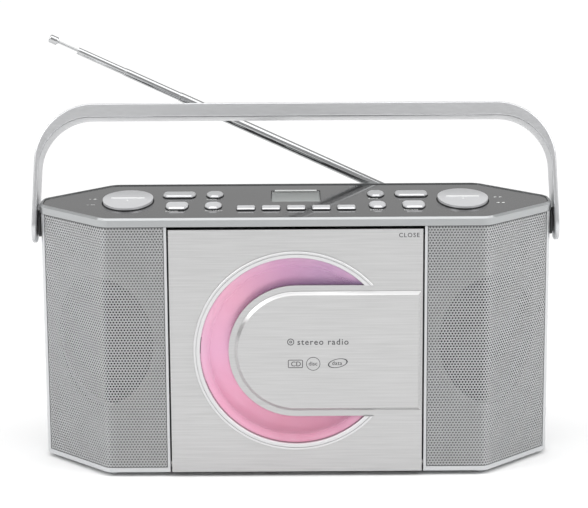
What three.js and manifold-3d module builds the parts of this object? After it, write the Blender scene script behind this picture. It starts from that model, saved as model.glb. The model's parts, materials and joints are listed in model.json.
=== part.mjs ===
// Portable disc radio with a drop-down disc door, a carrying handle and a telescopic antenna.
// Millimetres, +Z up, front towards -Y. The origin is at the middle of the footprint, at floor level.

import * as THREE from 'three';
import { mergeVertices } from 'three/addons/utils/BufferGeometryUtils.js';
import Module from 'manifold-3d';

const wasm = await Module();
wasm.setup();

// ---------- driving dimensions ----------

// body
const bodyWidth = 340;
const bodyDepth = 111;
const bodyHeight = 174.6;
const cornerFacet = 44.8;
const wall = 2.5;
const clearance = 0.3;
const footHeight = 3;
const footRadius = 4;
const footInset = 8.5;

// silver rim and control panel
const rimHeight = 5.8;
const rimWidth = 2.2;
const rimLedge = 4;
const panelDrop = 0.6;
const panelThickness = 2.5;
const cabinetInset = 1;

// disc door
const doorWidth = 164.5;
const doorSideGap = 1.2;
const doorTopGap = 1.9;
const doorLift = 0.3;
const doorSkin = 2.5;
const doorDepth = 9;
const doorLip = 1;
const doorFlange = 1.8;
const doorRun = 3;
const hingeSetback = 5.6;
const hingeRise = 5;
const hingePinRadius = 1.5;
const hingeLug = 3;

// round window and plate on the door
const windowReveal = 2.7;
const windowBand = 18.5;
const windowThickness = 1.2;
const windowRecess = 1;
const ringWidth = 4.4;
const ringProud = 1.6;
const plateReveal = 4;
const plateMargin = 0.85;
const plateProud = 2.4;

// disc mechanism
const discRadius = 60;
const discHole = 7.5;
const discThickness = 1.2;
const discSetback = 11.8;
const bowlClearance = 3.5;
const bowlDepth = 5;
const bowlFloor = 2.5;
const chassisSetback = 10.6;
const chassisMargin = 16.5;
const chassisBottomRise = 10.7;
const chassisTopDrop = 2.9;
const platformRadius = 15;
const shaftRadius = 1;
const motorRadius = 12;
const motorLength = 12;
const sledWidth = 18;
const sledDepth = 7;
const lensRadius = 4;
const lensPark = 22;
const lensStop = 2;
const rodRadius = 1.5;
const rodSpacing = 30;
const rodRun = 0.3;
const postSize = 6;
const gearTeeth = 12;
const gearModule = 1;
const gearWidth = 5;

// loudspeakers
const grilleStrip = 1.75;
const grilleEdge = 3.3;
const grilleBottom = 3;
const grilleThickness = 0.7;
const grilleRecess = 0.9;
const speakerTilt = Math.PI / 8;
const speakerShift = 7;
const speakerSetback = 25.5;
const speakerRise = 88.3;
const speakerOpeningWidth = 72;
const speakerOpeningHeight = 88;
const speakerFlangeWidth = 77;
const speakerFlangeHeight = 98;
const magnetRadius = 20;
const basketDepth = 22;
const magnetDepth = 14;
const coneRadius = 32.6;

// controls
const buttonProud = 2;
const buttonGap = 0.35;
const buttonLip = 1.2;
const rockerWidth = 33.4;
const rockerDepth = 58.4;
const rockerRidge = 3;
const rockerEdge = 1.6;
const rockerInset = 13.7;
const rockerGap = 0.7;
const rockerPitch = 33.5;
const smallPitch = 23.9;
const backRow = 17;
const frontRow = 18.4;
const barPitch = 16.5;
const barWidth = 11.8;
const barDepth = 10;
const barRow = 24.6;
const barProud = 1.5;
const displayWidth = 32.4;
const displayDepth = 35;
const displayRow = 15.8;

// handle
const handleRise = 78.7;
const handleStandoff = 5;
const handleDepth = 26;
const handleBar = 9.4;
const handleLeg = 3.2;
const handleOuterCorner = 38;
const handleInnerCorner = 33;
const handleSplay = THREE.MathUtils.degToRad(2.3);
const handleLean = THREE.MathUtils.degToRad(16.5);
const handlePivotDrop = 14.8;
const hubRadius = 9;
const hubPinRadius = 4;

// antenna
const antennaSlope = THREE.MathUtils.degToRad(24.9);
const antennaPivotX = 78;
const antennaPivotDrop = 12.4;
const antennaGap = 0.6;
const tubeWall = 0.3;
const tubeRun = 0.05;
const tubeDiameters = [7, 6.3, 5.6, 4.9];
const tubeEnds = [147, 173, 214, 249];
const tubeInside = [136, 136, 132, 128];
const rodEnd = 270;
const rodLength = 130;
const rodDiameter = 1.8;
const tipDiameter = 6;
const tipLength = 6;
const knuckleReach = 8;
const swivelRadius = 5;

// power and rear fittings
const cellDiameter = 26.2;
const cellLength = 50;
const cellsAlong = 3;
const bayPlay = 2;
const bayWall = 2;
const coverGap = 0.4;
const coverHingeGap = 0.8;
const socketWidth = 22;
const socketHeight = 14;
const socketDepth = 16;
const socketX = 101;
const jackRadius = 4;
const jackBore = 1.85;

// ---------- levels and planes worked out from them ----------

const tubeDiameter = tubeDiameters[0];
const totalDepth = plateProud + bodyDepth + antennaGap + tubeDiameter;
const frontY = plateProud - totalDepth / 2;
const backY = frontY + bodyDepth;
const midY = (frontY + backY) / 2;
const halfWidth = bodyWidth / 2;
const flatHalf = halfWidth - cornerFacet;
const bottomZ = footHeight;
const rimBottomZ = bodyHeight - rimHeight;
const deckZ = bodyHeight - panelDrop;
const panelBottomZ = deckZ - panelThickness;
const cabinetTopZ = rimBottomZ - clearance;
const beyond = 60;

const doorHalf = doorWidth / 2;
const doorBottomZ = bottomZ + doorLift;
const doorTopZ = rimBottomZ - doorTopGap;
const doorBackY = frontY + doorDepth;
const openingHalf = doorHalf + doorSideGap;
const hingeY = frontY + hingeSetback;
const hingeZ = doorBottomZ + hingeRise;
const discZ = (doorBottomZ + doorTopZ) / 2 + 0.5;

const windowRadius = discRadius + windowReveal;
const windowCore = windowRadius - windowBand;
const plateHalfHeight = windowCore - plateReveal;
const sledTravel = discRadius - lensPark - lensStop;
const discFrontY = frontY + discSetback;
const discBackY = discFrontY + discThickness;
const chassisFrontY = frontY + chassisSetback;
const bowlY = chassisFrontY + bowlDepth;
const chassisBackY = bowlY + bowlFloor;
const rodY = chassisBackY + 5;
const sledFrontY = rodY - sledDepth / 2;
const sledBackY = rodY + sledDepth / 2;

const handleOuterHalf = halfWidth + handleStandoff;
const pivotZ = bodyHeight - handlePivotDrop;
const antennaY = backY + antennaGap + tubeDiameter / 2;
const antennaZ = bodyHeight - antennaPivotDrop;

// ---------- shape helpers ----------

function solid(geometry) {
  const bare = geometry.clone();
  bare.deleteAttribute('normal');
  bare.deleteAttribute('uv');
  const merged = mergeVertices(bare, 1e-5);
  const index = merged.index.array;
  const kept = [];
  for (let i = 0; i < index.length; i += 3) {
    const [a, b, c] = [index[i], index[i + 1], index[i + 2]];
    if (a !== b && b !== c && c !== a) {
      kept.push(a, b, c);
    }
  }
  return new wasm.Manifold(new wasm.Mesh({
    numProp: 3,
    vertProperties: new Float32Array(merged.attributes.position.array),
    triVerts: new Uint32Array(kept),
  }));
}

function geometryOf(body) {
  const mesh = body.getMesh();
  const geometry = new THREE.BufferGeometry();
  geometry.setAttribute('position', new THREE.BufferAttribute(mesh.vertProperties, 3));
  geometry.setIndex(new THREE.BufferAttribute(mesh.triVerts, 1));
  geometry.computeVertexNormals();
  return geometry;
}

function join(first, ...rest) {
  return rest.reduce((whole, piece) => whole.add(piece), first);
}

function cut(whole, ...tools) {
  return tools.reduce((rest, tool) => rest.subtract(tool), whole);
}

function box(x0, x1, y0, y1, z0, z1) {
  const geometry = new THREE.BoxGeometry(x1 - x0, y1 - y0, z1 - z0);
  geometry.translate((x0 + x1) / 2, (y0 + y1) / 2, (z0 + z1) / 2);
  return solid(geometry);
}

function shapeOf(points) {
  return new THREE.Shape(points.map(([x, y]) => new THREE.Vector2(x, y)));
}

// A plan outline raised between two heights.
function prism(points, z0, z1) {
  const geometry = new THREE.ExtrudeGeometry(shapeOf(points), { depth: z1 - z0, bevelEnabled: false });
  geometry.translate(0, 0, z0);
  return solid(geometry);
}

// A front-view outline in X and Z, pushed back between two depths.
function slab(points, y0, y1) {
  const geometry = new THREE.ExtrudeGeometry(shapeOf(points), { depth: y1 - y0, bevelEnabled: false });
  geometry.rotateX(Math.PI / 2);
  geometry.translate(0, y1, 0);
  return solid(geometry);
}

// A round bar along Y.
function barY(radius, x, z, y0, y1, sides = 24) {
  const geometry = new THREE.CylinderGeometry(radius, radius, y1 - y0, sides);
  geometry.translate(x, (y0 + y1) / 2, z);
  return solid(geometry);
}

// A round bar along X.
function barX(radius, y, z, x0, x1, sides = 24) {
  const geometry = new THREE.CylinderGeometry(radius, radius, x1 - x0, sides);
  geometry.rotateZ(Math.PI / 2);
  geometry.translate((x0 + x1) / 2, y, z);
  return solid(geometry);
}

// A profile of radius and height turned about Y. The profile runs anticlockwise and closes on itself.
function turned(profile, sides) {
  const points = profile.map(([radius, y]) => new THREE.Vector2(radius, y));
  const onAxis = profile[0][0] === 0 && profile[profile.length - 1][0] === 0;
  if (!onAxis) {
    points.push(points[0].clone());
  }
  return new THREE.LatheGeometry(points, sides);
}

function ellipse(halfX, halfY, centreX, centreY, sides) {
  const points = [];
  for (let i = 0; i < sides; i += 1) {
    const angle = (2 * Math.PI * i) / sides;
    points.push([centreX + halfX * Math.cos(angle), centreY + halfY * Math.sin(angle)]);
  }
  return points;
}

// The body's plan: a long octagon, drawn in from the rim's outer edge by an inset.
function plan(inset) {
  const slip = inset * Math.tan(Math.PI / 8);
  const flat = flatHalf - slip;
  const side = halfWidth - inset;
  const deep = bodyDepth / 2 - inset;
  const facet = bodyDepth / 2 - cornerFacet - slip;
  const right = [[flat, -deep], [side, -facet], [side, facet], [flat, deep]];
  const left = right.map(([x, y]) => [-x, y]).reverse();
  return [...right, ...left].map(([x, y]) => [x, y + midY]);
}

const group = new THREE.Group();

function finish(color, roughness, metalness) {
  return { color, roughness, metalness };
}

const silver = finish(0xb9bdc0, 0.35, 0.6);
const blackGloss = finish(0x151617, 0.08, 0);
const brushed = finish(0xcfd2d4, 0.32, 0.9);
const grilleGrey = finish(0xa6abad, 0.4, 0.8);
const blackPlastic = finish(0x1c1d1f, 0.6, 0);
const greyPlastic = finish(0x8d9296, 0.55, 0);
const chrome = finish(0xe6e8ea, 0.08, 1);
const steel = finish(0x9da1a4, 0.3, 1);
const clear = finish(0xf4c6dc, 0.05, 0);
const paper = finish(0x26272a, 0.85, 0);
const boardGreen = finish(0x1f5a3a, 0.6, 0);
const rubber = finish(0x202122, 0.9, 0);
const discPink = finish(0xe9a9c8, 0.15, 0.5);
const whitePlastic = finish(0xe4e4e0, 0.5, 0);

function place(name, body, look, parent = group) {
  const geometry = body instanceof THREE.BufferGeometry ? body : geometryOf(body);
  const mesh = new THREE.Mesh(geometry, new THREE.MeshStandardMaterial(look));
  mesh.name = name;
  parent.add(mesh);
  return mesh;
}

// ---------- cabinets, rim and feet ----------

function shell(y0, y1) {
  const outer = prism(plan(cabinetInset), bottomZ, cabinetTopZ);
  const inner = prism(plan(cabinetInset + wall), bottomZ + wall, cabinetTopZ + 1);
  const slice = box(-halfWidth, halfWidth, y0, y1, 0, bodyHeight);
  const hubBore = barX(hubPinRadius + clearance, midY, pivotZ, -halfWidth - 1, halfWidth + 1);
  return cut(cut(outer, inner).intersect(slice), hubBore);
}

// The bent strip that a grille fills, between two insets from the cabinet's outer face.
function grilleBand(side, nearInset, farInset, startX, endMargin, z0, z1) {
  const facetLength = cornerFacet * Math.SQRT2 - 2 * cabinetInset * Math.tan(Math.PI / 8);
  const cornerX = flatHalf - cabinetInset * Math.tan(Math.PI / 8);
  const cornerY = frontY + cabinetInset;
  const run = (facetLength - endMargin) / Math.SQRT2;
  const edge = (inset) => {
    const slip = inset * Math.tan(Math.PI / 8);
    const lean = inset / Math.SQRT2;
    return [
      [startX, cornerY + inset],
      [cornerX - slip, cornerY + inset],
      [cornerX + run - lean, cornerY + run + lean],
    ];
  };
  const points = [...edge(nearInset), ...edge(farInset).reverse()];
  const ordered = side > 0 ? points : points.map(([x, y]) => [-x, y]).reverse();
  return prism(ordered, z0, z1);
}

// Where a speaker's front plane is centred, and the angle that faces it outwards.
function speakerSeat(side) {
  const cornerX = flatHalf - cabinetInset * Math.tan(Math.PI / 8);
  const cornerY = frontY + cabinetInset;
  const sin = Math.sin(speakerTilt);
  const cos = Math.cos(speakerTilt);
  return {
    x: side * (cornerX + speakerShift * cos - speakerSetback * sin),
    y: cornerY + speakerShift * sin + speakerSetback * cos,
    z: bottomZ + speakerRise,
    turn: Math.PI + side * speakerTilt,
  };
}

function speakerOpening(side) {
  const seat = speakerSeat(side);
  const reach = beyond - speakerSetback;
  const geometry = new THREE.CylinderGeometry(1, 1, reach, 32);
  geometry.scale(speakerOpeningWidth / 2, 1, speakerOpeningHeight / 2);
  geometry.translate(0, reach / 2 + 5, 0);
  geometry.rotateZ(seat.turn);
  geometry.translate(seat.x, seat.y, seat.z);
  return solid(geometry);
}

function frontCabinet() {
  const doorway = box(-openingHalf, openingHalf, frontY - 1, doorBackY + doorRun, 0, bodyHeight);
  let body = cut(shell(frontY, midY - clearance / 2), doorway);
  for (const side of [-1, 1]) {
    const lugX = side * (openingHalf + 0.6 + hingeLug / 2);
    const wallY = frontY + cabinetInset + wall;
    const lug = box(
      lugX - hingeLug / 2, lugX + hingeLug / 2,
      wallY - 0.5, hingeY + hingeLug,
      bottomZ + wall - 0.5, hingeZ + hingeLug,
    );
    const grilleStart = openingHalf + grilleStrip;
    const recess = grilleBand(
      side, -1, grilleRecess, grilleStart, grilleEdge, bottomZ + grilleBottom, cabinetTopZ + 1,
    );
    body = cut(join(body, lug), recess, speakerOpening(side));
  }
  const pinReach = openingHalf + beyond / 2;
  return cut(body, barX(hingePinRadius + clearance, hingeY, hingeZ, -pinReach, pinReach));
}

// The battery bay, the rear fittings and the antenna's swivel are set into the rear shell.
const bayHalf = (cellsAlong * cellLength) / 2 + bayPlay;
const bayBottomZ = bottomZ + wall + 3.5;
const bayTopZ = bayBottomZ + 2 * cellDiameter + bayPlay * 2;
const shellBackY = backY - cabinetInset;
const bayFrontY = shellBackY - wall - cellDiameter - bayPlay;
const socketZ = bayBottomZ + socketHeight / 2 + 4;
const jackZ = socketZ + 24;

function rearCabinet() {
  const pocket = box(
    -bayHalf - bayWall, bayHalf + bayWall, bayFrontY - bayWall, shellBackY - wall / 2,
    bottomZ + wall / 2, bayTopZ + bayWall,
  );
  const bay = box(-bayHalf, bayHalf, bayFrontY, backY, bayBottomZ, bayTopZ);
  const socketHole = box(
    socketX - socketWidth / 2 - clearance, socketX + socketWidth / 2 + clearance,
    shellBackY - 2 * wall, backY,
    socketZ - socketHeight / 2 - clearance, socketZ + socketHeight / 2 + clearance,
  );
  const jackHole = barY(jackRadius + clearance, socketX, jackZ, shellBackY - 2 * wall, backY);
  const swivelHole = barY(swivelRadius + clearance, antennaPivotX, antennaZ, shellBackY - 2 * wall, backY);
  const restX = antennaPivotX - tubeEnds[0] + 8;
  const restTop = antennaZ - tubeDiameter / 2 - 0.5;
  const rest = box(restX - 6, restX + 6, shellBackY - wall / 2, antennaY + 3, restTop - wall, restTop);
  let body = join(shell(midY + clearance / 2, backY), pocket, rest);
  body = cut(body, bay, socketHole, jackHole, swivelHole);
  for (const side of [-1, 1]) {
    for (let i = 0; i < 5; i += 1) {
      const slotZ = bayTopZ + 16 + 7 * i;
      const near = side * 34;
      const slot = box(near - 16, near + 16, shellBackY - 2 * wall, backY, slotZ, slotZ + 2.4);
      body = cut(body, slot);
    }
  }
  return body;
}

place('front_cabinet', frontCabinet(), silver);
place('rear_cabinet', rearCabinet(), silver);

place('top_rim', cut(
  prism(plan(0), rimBottomZ, bodyHeight),
  prism(plan(rimWidth), panelBottomZ - clearance, bodyHeight + 1),
  prism(plan(rimWidth + rimLedge), 0, bodyHeight + 1),
), silver);

const footX = flatHalf - footInset / 2;
for (const [end, footY] of [['front', frontY + cabinetInset + footInset], ['rear', shellBackY - footInset]]) {
  for (const [hand, side] of [['left', -1], ['right', 1]]) {
    const geometry = new THREE.CylinderGeometry(footRadius, footRadius, footHeight - 0.05, 20);
    geometry.rotateX(Math.PI / 2);
    geometry.translate(side * footX, footY, (footHeight - 0.05) / 2);
    place(`foot_${end}_${hand}`, solid(geometry), rubber);
  }
}

// ---------- control panel, its buttons and the display ----------

const rockerX = flatHalf - rockerInset;
const wideX = rockerX - rockerPitch;
const smallX = wideX - smallPitch;

// An oblong key seen from above, with its corners taken off.
function keyOutline(key, grow) {
  const halfX = key.width / 2 + grow;
  const halfY = key.depth / 2 + grow;
  const { cutX, backCut, frontCut } = key;
  const right = [
    [halfX - cutX, -halfY], [halfX, -halfY + frontCut], [halfX, halfY - backCut], [halfX - cutX, halfY],
  ];
  const left = right.map(([x, y]) => [-x, y]).reverse();
  return [...right, ...left].map(([x, y]) => [x + key.x, y + key.y]);
}

const keys = [];
for (const [hand, side] of [['left', -1], ['right', 1]]) {
  keys.push({
    name: `wide_button_back_${hand}`, x: side * wideX, y: midY + backRow,
    width: 21.6, depth: 14, cutX: 2, frontCut: 4, backCut: 2.5, proud: buttonProud,
  });
  keys.push({
    name: `wide_button_front_${hand}`, x: side * wideX, y: midY - frontRow,
    width: 14.5, depth: 18.4, cutX: 2, frontCut: 6, backCut: 3, proud: buttonProud,
  });
  keys.push({
    name: `small_button_back_${hand}`, x: side * smallX, y: midY + backRow,
    width: 11, depth: 16.4, cutX: 2.8, frontCut: 6, backCut: 4, proud: buttonProud,
  });
  keys.push({
    name: `small_button_front_${hand}`, x: side * smallX, y: midY - frontRow,
    width: 10.8, depth: 17.4, cutX: 2.8, frontCut: 6, backCut: 4, proud: buttonProud,
  });
}
for (let i = 0; i < 5; i += 1) {
  keys.push({
    name: `bar_button_${i + 1}`, x: (i - 2) * barPitch + 0.5, y: midY - barRow,
    width: barWidth, depth: barDepth, cutX: 0.6, frontCut: 0.6, backCut: 0.6, proud: barProud,
  });
}

const displayX = 0.3;
const displayY = midY + displayRow;

function displayOutline(grow) {
  const halfX = displayWidth / 2 + grow;
  const halfY = displayDepth / 2 + grow;
  return [
    [displayX - halfX, displayY - halfY], [displayX + halfX, displayY - halfY],
    [displayX + halfX, displayY + halfY], [displayX - halfX, displayY + halfY],
  ];
}

function controlPanel() {
  let panel = prism(plan(rimWidth + clearance), panelBottomZ, deckZ);
  const through = (points) => prism(points, panelBottomZ - 1, deckZ + 1);
  for (const key of keys) {
    panel = cut(panel, through(keyOutline(key, buttonGap)));
  }
  for (const side of [-1, 1]) {
    const hole = ellipse(rockerWidth / 2 + rockerGap, rockerDepth / 2 + rockerGap, side * rockerX, midY, 32);
    panel = cut(panel, through(hole));
  }
  return cut(panel, through(displayOutline(clearance)));
}

function button(key) {
  const lipTopZ = panelBottomZ - 0.5;
  const cap = prism(keyOutline(key, 0), lipTopZ - buttonLip, deckZ + key.proud);
  const lip = prism(keyOutline(key, buttonLip), lipTopZ - buttonLip, lipTopZ);
  return join(cap, lip);
}

// The tuning and volume rockers: an oval cap with a ridge across the middle.
function rocker(side) {
  const halfDepth = rockerDepth / 2;
  const oval = prism(ellipse(rockerWidth / 2, halfDepth, side * rockerX, midY, 32), panelBottomZ - 3, bodyHeight + 9);
  const low = panelBottomZ - 4;
  const profile = [
    [midY - halfDepth - 1, low], [midY + halfDepth + 1, low],
    [midY + halfDepth + 1, deckZ + rockerEdge], [midY, deckZ + rockerRidge],
    [midY - halfDepth - 1, deckZ + rockerEdge],
  ];
  const geometry = new THREE.ExtrudeGeometry(shapeOf(profile), { depth: rockerWidth + 2, bevelEnabled: false });
  geometry.rotateY(Math.PI / 2);
  geometry.rotateX(Math.PI / 2);
  geometry.translate(side * rockerX - rockerWidth / 2 - 1, 0, 0);
  return oval.intersect(solid(geometry));
}

place('control_panel', controlPanel(), blackGloss);
for (const key of keys) {
  place(key.name, button(key), silver);
}
place('volume_rocker', rocker(-1), silver);
place('tuning_rocker', rocker(1), silver);
place('display_lens', prism(displayOutline(0), deckZ - 1.6, deckZ - 0.3), clear);

const displayModuleTop = panelBottomZ - clearance;
const displayModule = prism(displayOutline(3), displayModuleTop - 5, displayModuleTop);
place('display_module', displayModule, whitePlastic);

const keyBoardTop = panelBottomZ - 12;
place('key_board', box(
  -rockerX - 14, rockerX + 14, midY - 33, midY + 36, keyBoardTop - 1.6, keyBoardTop,
), boardGreen);

// ---------- disc door ----------

function windowOutlineCut(radius, coreHalf, y0, y1) {
  const round = barY(radius, 0, discZ, y0, y1, 72);
  const core = barY(coreHalf, 0, discZ, y0 - 1, y1 + 1, 56);
  const bridge = box(0, doorWidth, y0 - 1, y1 + 1, discZ - coreHalf, discZ + coreHalf);
  return cut(round, join(core, bridge));
}

function discDoor() {
  const skin = box(-doorHalf, doorHalf, frontY, frontY + doorSkin, doorBottomZ, doorTopZ);
  const rimOut = doorHalf - doorLip;
  const rimIn = rimOut - doorFlange;
  const inset = doorLip + doorFlange;
  const flange = cut(
    box(-rimOut, rimOut, frontY + 1, doorBackY, doorBottomZ + doorLip, doorTopZ - doorLip),
    box(-rimIn, rimIn, frontY, doorBackY + 1, doorBottomZ + inset, doorTopZ - inset),
  );
  const pinReach = openingHalf + 0.6 + hingeLug;
  const pins = cut(
    barX(hingePinRadius, hingeY, hingeZ, -pinReach, pinReach, 16),
    box(-rimIn, rimIn, frontY, doorBackY + 1, 0, discZ),
  );
  const opening = windowOutlineCut(windowRadius, windowCore, frontY - 1, frontY + doorSkin + 1);
  return cut(join(skin, flange, pins), opening);
}

place('disc_door', discDoor(), brushed);
place('door_window', windowOutlineCut(
  windowRadius - clearance, windowCore + clearance,
  frontY + windowRecess, frontY + windowRecess + windowThickness,
), clear);

function windowRing() {
  const outer = barY(windowRadius + ringWidth, 0, discZ, frontY - ringProud, frontY - 0.05, 72);
  const inner = barY(windowRadius, 0, discZ, frontY - plateProud, frontY, 72);
  const ends = box(0, doorWidth, frontY - plateProud, frontY, discZ - windowCore, discZ + windowCore);
  return cut(outer, inner, ends);
}

function frontPlate() {
  const round = barY(plateHalfHeight, 0, discZ, frontY - plateProud, frontY - 0.05, 56);
  const arm = box(
    0, doorHalf - plateMargin, frontY - plateProud, frontY - 0.05,
    discZ - plateHalfHeight, discZ + plateHalfHeight,
  );
  return join(round, arm);
}

place('window_ring', windowRing(), silver);
place('door_plate', frontPlate(), brushed);

// ---------- disc mechanism ----------

const chassisHalf = discRadius + bowlClearance + chassisMargin;
const chassisBottomZ = doorBottomZ + chassisBottomRise;
const chassisTopZ = doorTopZ - chassisTopDrop;
const postReach = rodY + rodRadius + 1;
const rodLow = -(lensPark + sledTravel + sledWidth / 2 + 5);
const rodHigh = 18;
const gearPitchRadius = (gearTeeth * gearModule) / 2;
const rackBaseZ = discZ + rodSpacing / 2 + postSize / 2 + 0.8;
const rackRootZ = rackBaseZ + 2.7;
const toothDedendum = 1.1 * gearModule;
const toothAddendum = 0.7 * gearModule;
const gearX = -20;
const gearZ = rackRootZ + toothDedendum + gearPitchRadius;

function discChassis() {
  const bowlRadius = discRadius + bowlClearance;
  const plate = box(-chassisHalf, chassisHalf, chassisFrontY, chassisBackY, chassisBottomZ, chassisTopZ);
  const bowl = barY(bowlRadius, 0, discZ, chassisFrontY - 1, bowlY, 56);
  const shaftHole = barY(shaftRadius + 2, 0, discZ, bowlY - 1, chassisBackY + 1, 16);
  const slot = box(
    -lensPark - sledTravel - lensRadius - 1.5, -lensPark + lensRadius + 1.5,
    bowlY - 1, chassisBackY + 1, discZ - lensRadius - 1.5, discZ + lensRadius + 1.5,
  );
  let body = cut(plate, bowl, shaftHole, slot);
  for (const level of [-1, 1]) {
    const z = discZ + (level * rodSpacing) / 2;
    for (const [x0, x1] of [[rodLow - postSize, rodLow], [rodHigh, rodHigh + postSize]]) {
      const post = box(x0, x1, chassisBackY - 1, postReach, z - postSize / 2, z + postSize / 2);
      body = join(body, post);
    }
  }
  return body;
}

place('disc_chassis', discChassis(), blackPlastic);

const motorFrontY = chassisBackY + 0.2;
place('spindle_motor', cut(
  barY(motorRadius, 0, discZ, motorFrontY, motorFrontY + motorLength),
  barY(shaftRadius + clearance, 0, discZ, motorFrontY - 1, motorFrontY + motorLength + 1, 16),
), steel);

// The turntable's profile runs from the front of its nose to the back of its shaft.
const platformY = discBackY + 0.1;
const turntable = turned([
  [0, discFrontY - 1.7],
  [discHole - 1.3, discFrontY - 1.7],
  [discHole - clearance, discFrontY - 0.7],
  [discHole - clearance, platformY],
  [platformRadius, platformY],
  [platformRadius, bowlY - 0.7],
  [shaftRadius, bowlY - 0.7],
  [shaftRadius, motorFrontY + motorLength - 2],
  [0, motorFrontY + motorLength - 2],
], 24);
turntable.translate(0, 0, discZ);
place('turntable', solid(turntable), blackPlastic);

const disc = turned([
  [discHole, discFrontY],
  [discRadius, discFrontY],
  [discRadius, discBackY],
  [discHole, discBackY],
], 64);
disc.translate(0, 0, discZ);
place('compact_disc', solid(disc), discPink);

// Half the thickness of a tooth at a height above the pitch line.
function toothHalf(height) {
  const flank = Math.tan(THREE.MathUtils.degToRad(20));
  return 0.21 * Math.PI * gearModule - height * flank;
}

function pickupSled() {
  const sledX = -lensPark;
  const half = sledWidth / 2;
  const base = box(
    sledX - half, sledX + half, sledFrontY, sledBackY,
    discZ - rodSpacing / 2 - 3, rackRootZ,
  );
  const turret = barY(lensRadius, sledX, discZ, discBackY + 1.5, sledFrontY + 1, 16);
  const pitch = Math.PI * gearModule;
  const rackHigh = gearX + sledTravel + 3;
  const points = [[gearX - 3, rackBaseZ], [rackHigh, rackBaseZ], [rackHigh, rackRootZ]];
  const count = Math.floor((sledTravel + 4) / pitch);
  for (let i = count; i >= 0; i -= 1) {
    const middle = gearX + (i - 0.5) * pitch;
    points.push([middle + toothHalf(-toothDedendum), rackRootZ]);
    points.push([middle + toothHalf(toothAddendum), rackRootZ + toothDedendum + toothAddendum]);
    points.push([middle - toothHalf(toothAddendum), rackRootZ + toothDedendum + toothAddendum]);
    points.push([middle - toothHalf(-toothDedendum), rackRootZ]);
  }
  points.push([gearX - 3, rackRootZ]);
  const rack = slab(points, rodY - gearWidth / 2 - 0.5, rodY + gearWidth / 2 + 0.5);
  let body = join(base, turret, rack);
  for (const level of [-1, 1]) {
    const z = discZ + (level * rodSpacing) / 2;
    body = cut(body, barX(rodRadius + rodRun, rodY, z, sledX - half - 1, sledX + half + 1, 16));
  }
  return body;
}

function sledGear() {
  const points = [];
  for (let i = 0; i < gearTeeth; i += 1) {
    const angle = -Math.PI / 2 + (2 * Math.PI * i) / gearTeeth;
    for (const [radius, half] of [
      [gearPitchRadius - toothDedendum, -toothHalf(-toothDedendum)],
      [gearPitchRadius + toothAddendum, -toothHalf(toothAddendum)],
      [gearPitchRadius + toothAddendum, toothHalf(toothAddendum)],
      [gearPitchRadius - toothDedendum, toothHalf(-toothDedendum)],
    ]) {
      const turn = angle + half / radius;
      points.push([gearX + radius * Math.cos(turn), gearZ + radius * Math.sin(turn)]);
    }
  }
  const wheel = slab(points, rodY - gearWidth / 2, rodY + gearWidth / 2);
  const shaft = barY(1.2, gearX, gearZ, chassisBackY + 0.3, rodY + gearWidth / 2 + 6, 12);
  return join(wheel, shaft);
}

place('pickup_sled', pickupSled(), blackPlastic);
place('sled_gear', sledGear(), whitePlastic);
const sledMotorY = rodY + gearWidth / 2 + 1.5;
place('sled_motor', cut(
  barY(8, gearX, gearZ, sledMotorY, sledMotorY + 12, 20),
  barY(1.5, gearX, gearZ, sledMotorY - 1, sledMotorY + 13, 12),
), steel);
for (const [label, level] of [['lower', -1], ['upper', 1]]) {
  const z = discZ + (level * rodSpacing) / 2;
  place(`guide_rod_${label}`, barX(rodRadius, rodY, z, rodLow + 0.1, rodHigh - 0.1, 16), steel);
}
const latchY = doorBackY + 1;
place('door_latch', box(
  doorHalf - 26, doorHalf - 12, latchY, latchY + 9, chassisTopZ + clearance, cabinetTopZ - clearance,
), blackPlastic);

// ---------- loudspeakers and grilles ----------

function speakerFrame() {
  const basket = solid(turned([
    [0, -basketDepth - magnetDepth],
    [magnetRadius, -basketDepth - magnetDepth],
    [magnetRadius, -basketDepth],
    [magnetRadius + 6, 3 - basketDepth],
    [coneRadius + 3.4, -3],
    [coneRadius + 3.4, 0],
    [coneRadius + 1, 0],
    [coneRadius + 1, -5],
    [magnetRadius + 3, 4 - basketDepth],
    [0, 4 - basketDepth],
  ], 32));
  const flange = new THREE.CylinderGeometry(1, 1, 2, 32);
  flange.scale(speakerFlangeWidth / 2, 1, speakerFlangeHeight / 2);
  flange.translate(0, -1, 0);
  const hollow = new THREE.CylinderGeometry(coneRadius + 1.2, coneRadius + 1.2, 4, 32);
  return join(basket, cut(solid(flange), solid(hollow)));
}

function speakerCone() {
  return solid(turned([
    [0, -14.6],
    [10, -13.8],
    [coneRadius - 4.6, -4.4],
    [coneRadius, -2.8],
    [coneRadius, -1.9],
    [coneRadius - 2.6, -1.5],
    [coneRadius - 4.6, -3.1],
    [10, -12],
    [6, -9.3],
    [0, -8.5],
  ], 32));
}

for (const [hand, side] of [['left', -1], ['right', 1]]) {
  const seat = speakerSeat(side);
  for (const [name, body, look] of [
    [`speaker_frame_${hand}`, speakerFrame(), steel],
    [`speaker_cone_${hand}`, speakerCone(), paper],
  ]) {
    const mesh = place(name, body, look);
    mesh.position.set(seat.x, seat.y, seat.z);
    mesh.rotation.z = seat.turn;
  }
  const play = (grilleRecess - grilleThickness) / 2;
  place(`speaker_grille_${hand}`, grilleBand(
    side, play, play + grilleThickness, openingHalf + grilleStrip + 0.2, grilleEdge + 0.2,
    bottomZ + grilleBottom + 0.2, cabinetTopZ - 0.1,
  ), grilleGrey);
}

// ---------- circuit board, transformer and rear fittings ----------

const boardY = sledMotorY + 17;
const boardBottomZ = bayTopZ + 6;
place('main_board', box(-75, 75, boardY, boardY + 1.6, boardBottomZ, keyBoardTop - 8), boardGreen);
const transformerX = -bayHalf - bayWall - 5;
place('transformer', box(
  transformerX - 40, transformerX, midY + 4, midY + 38, bottomZ + wall + 0.3, bottomZ + wall + 35,
), steel);

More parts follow.
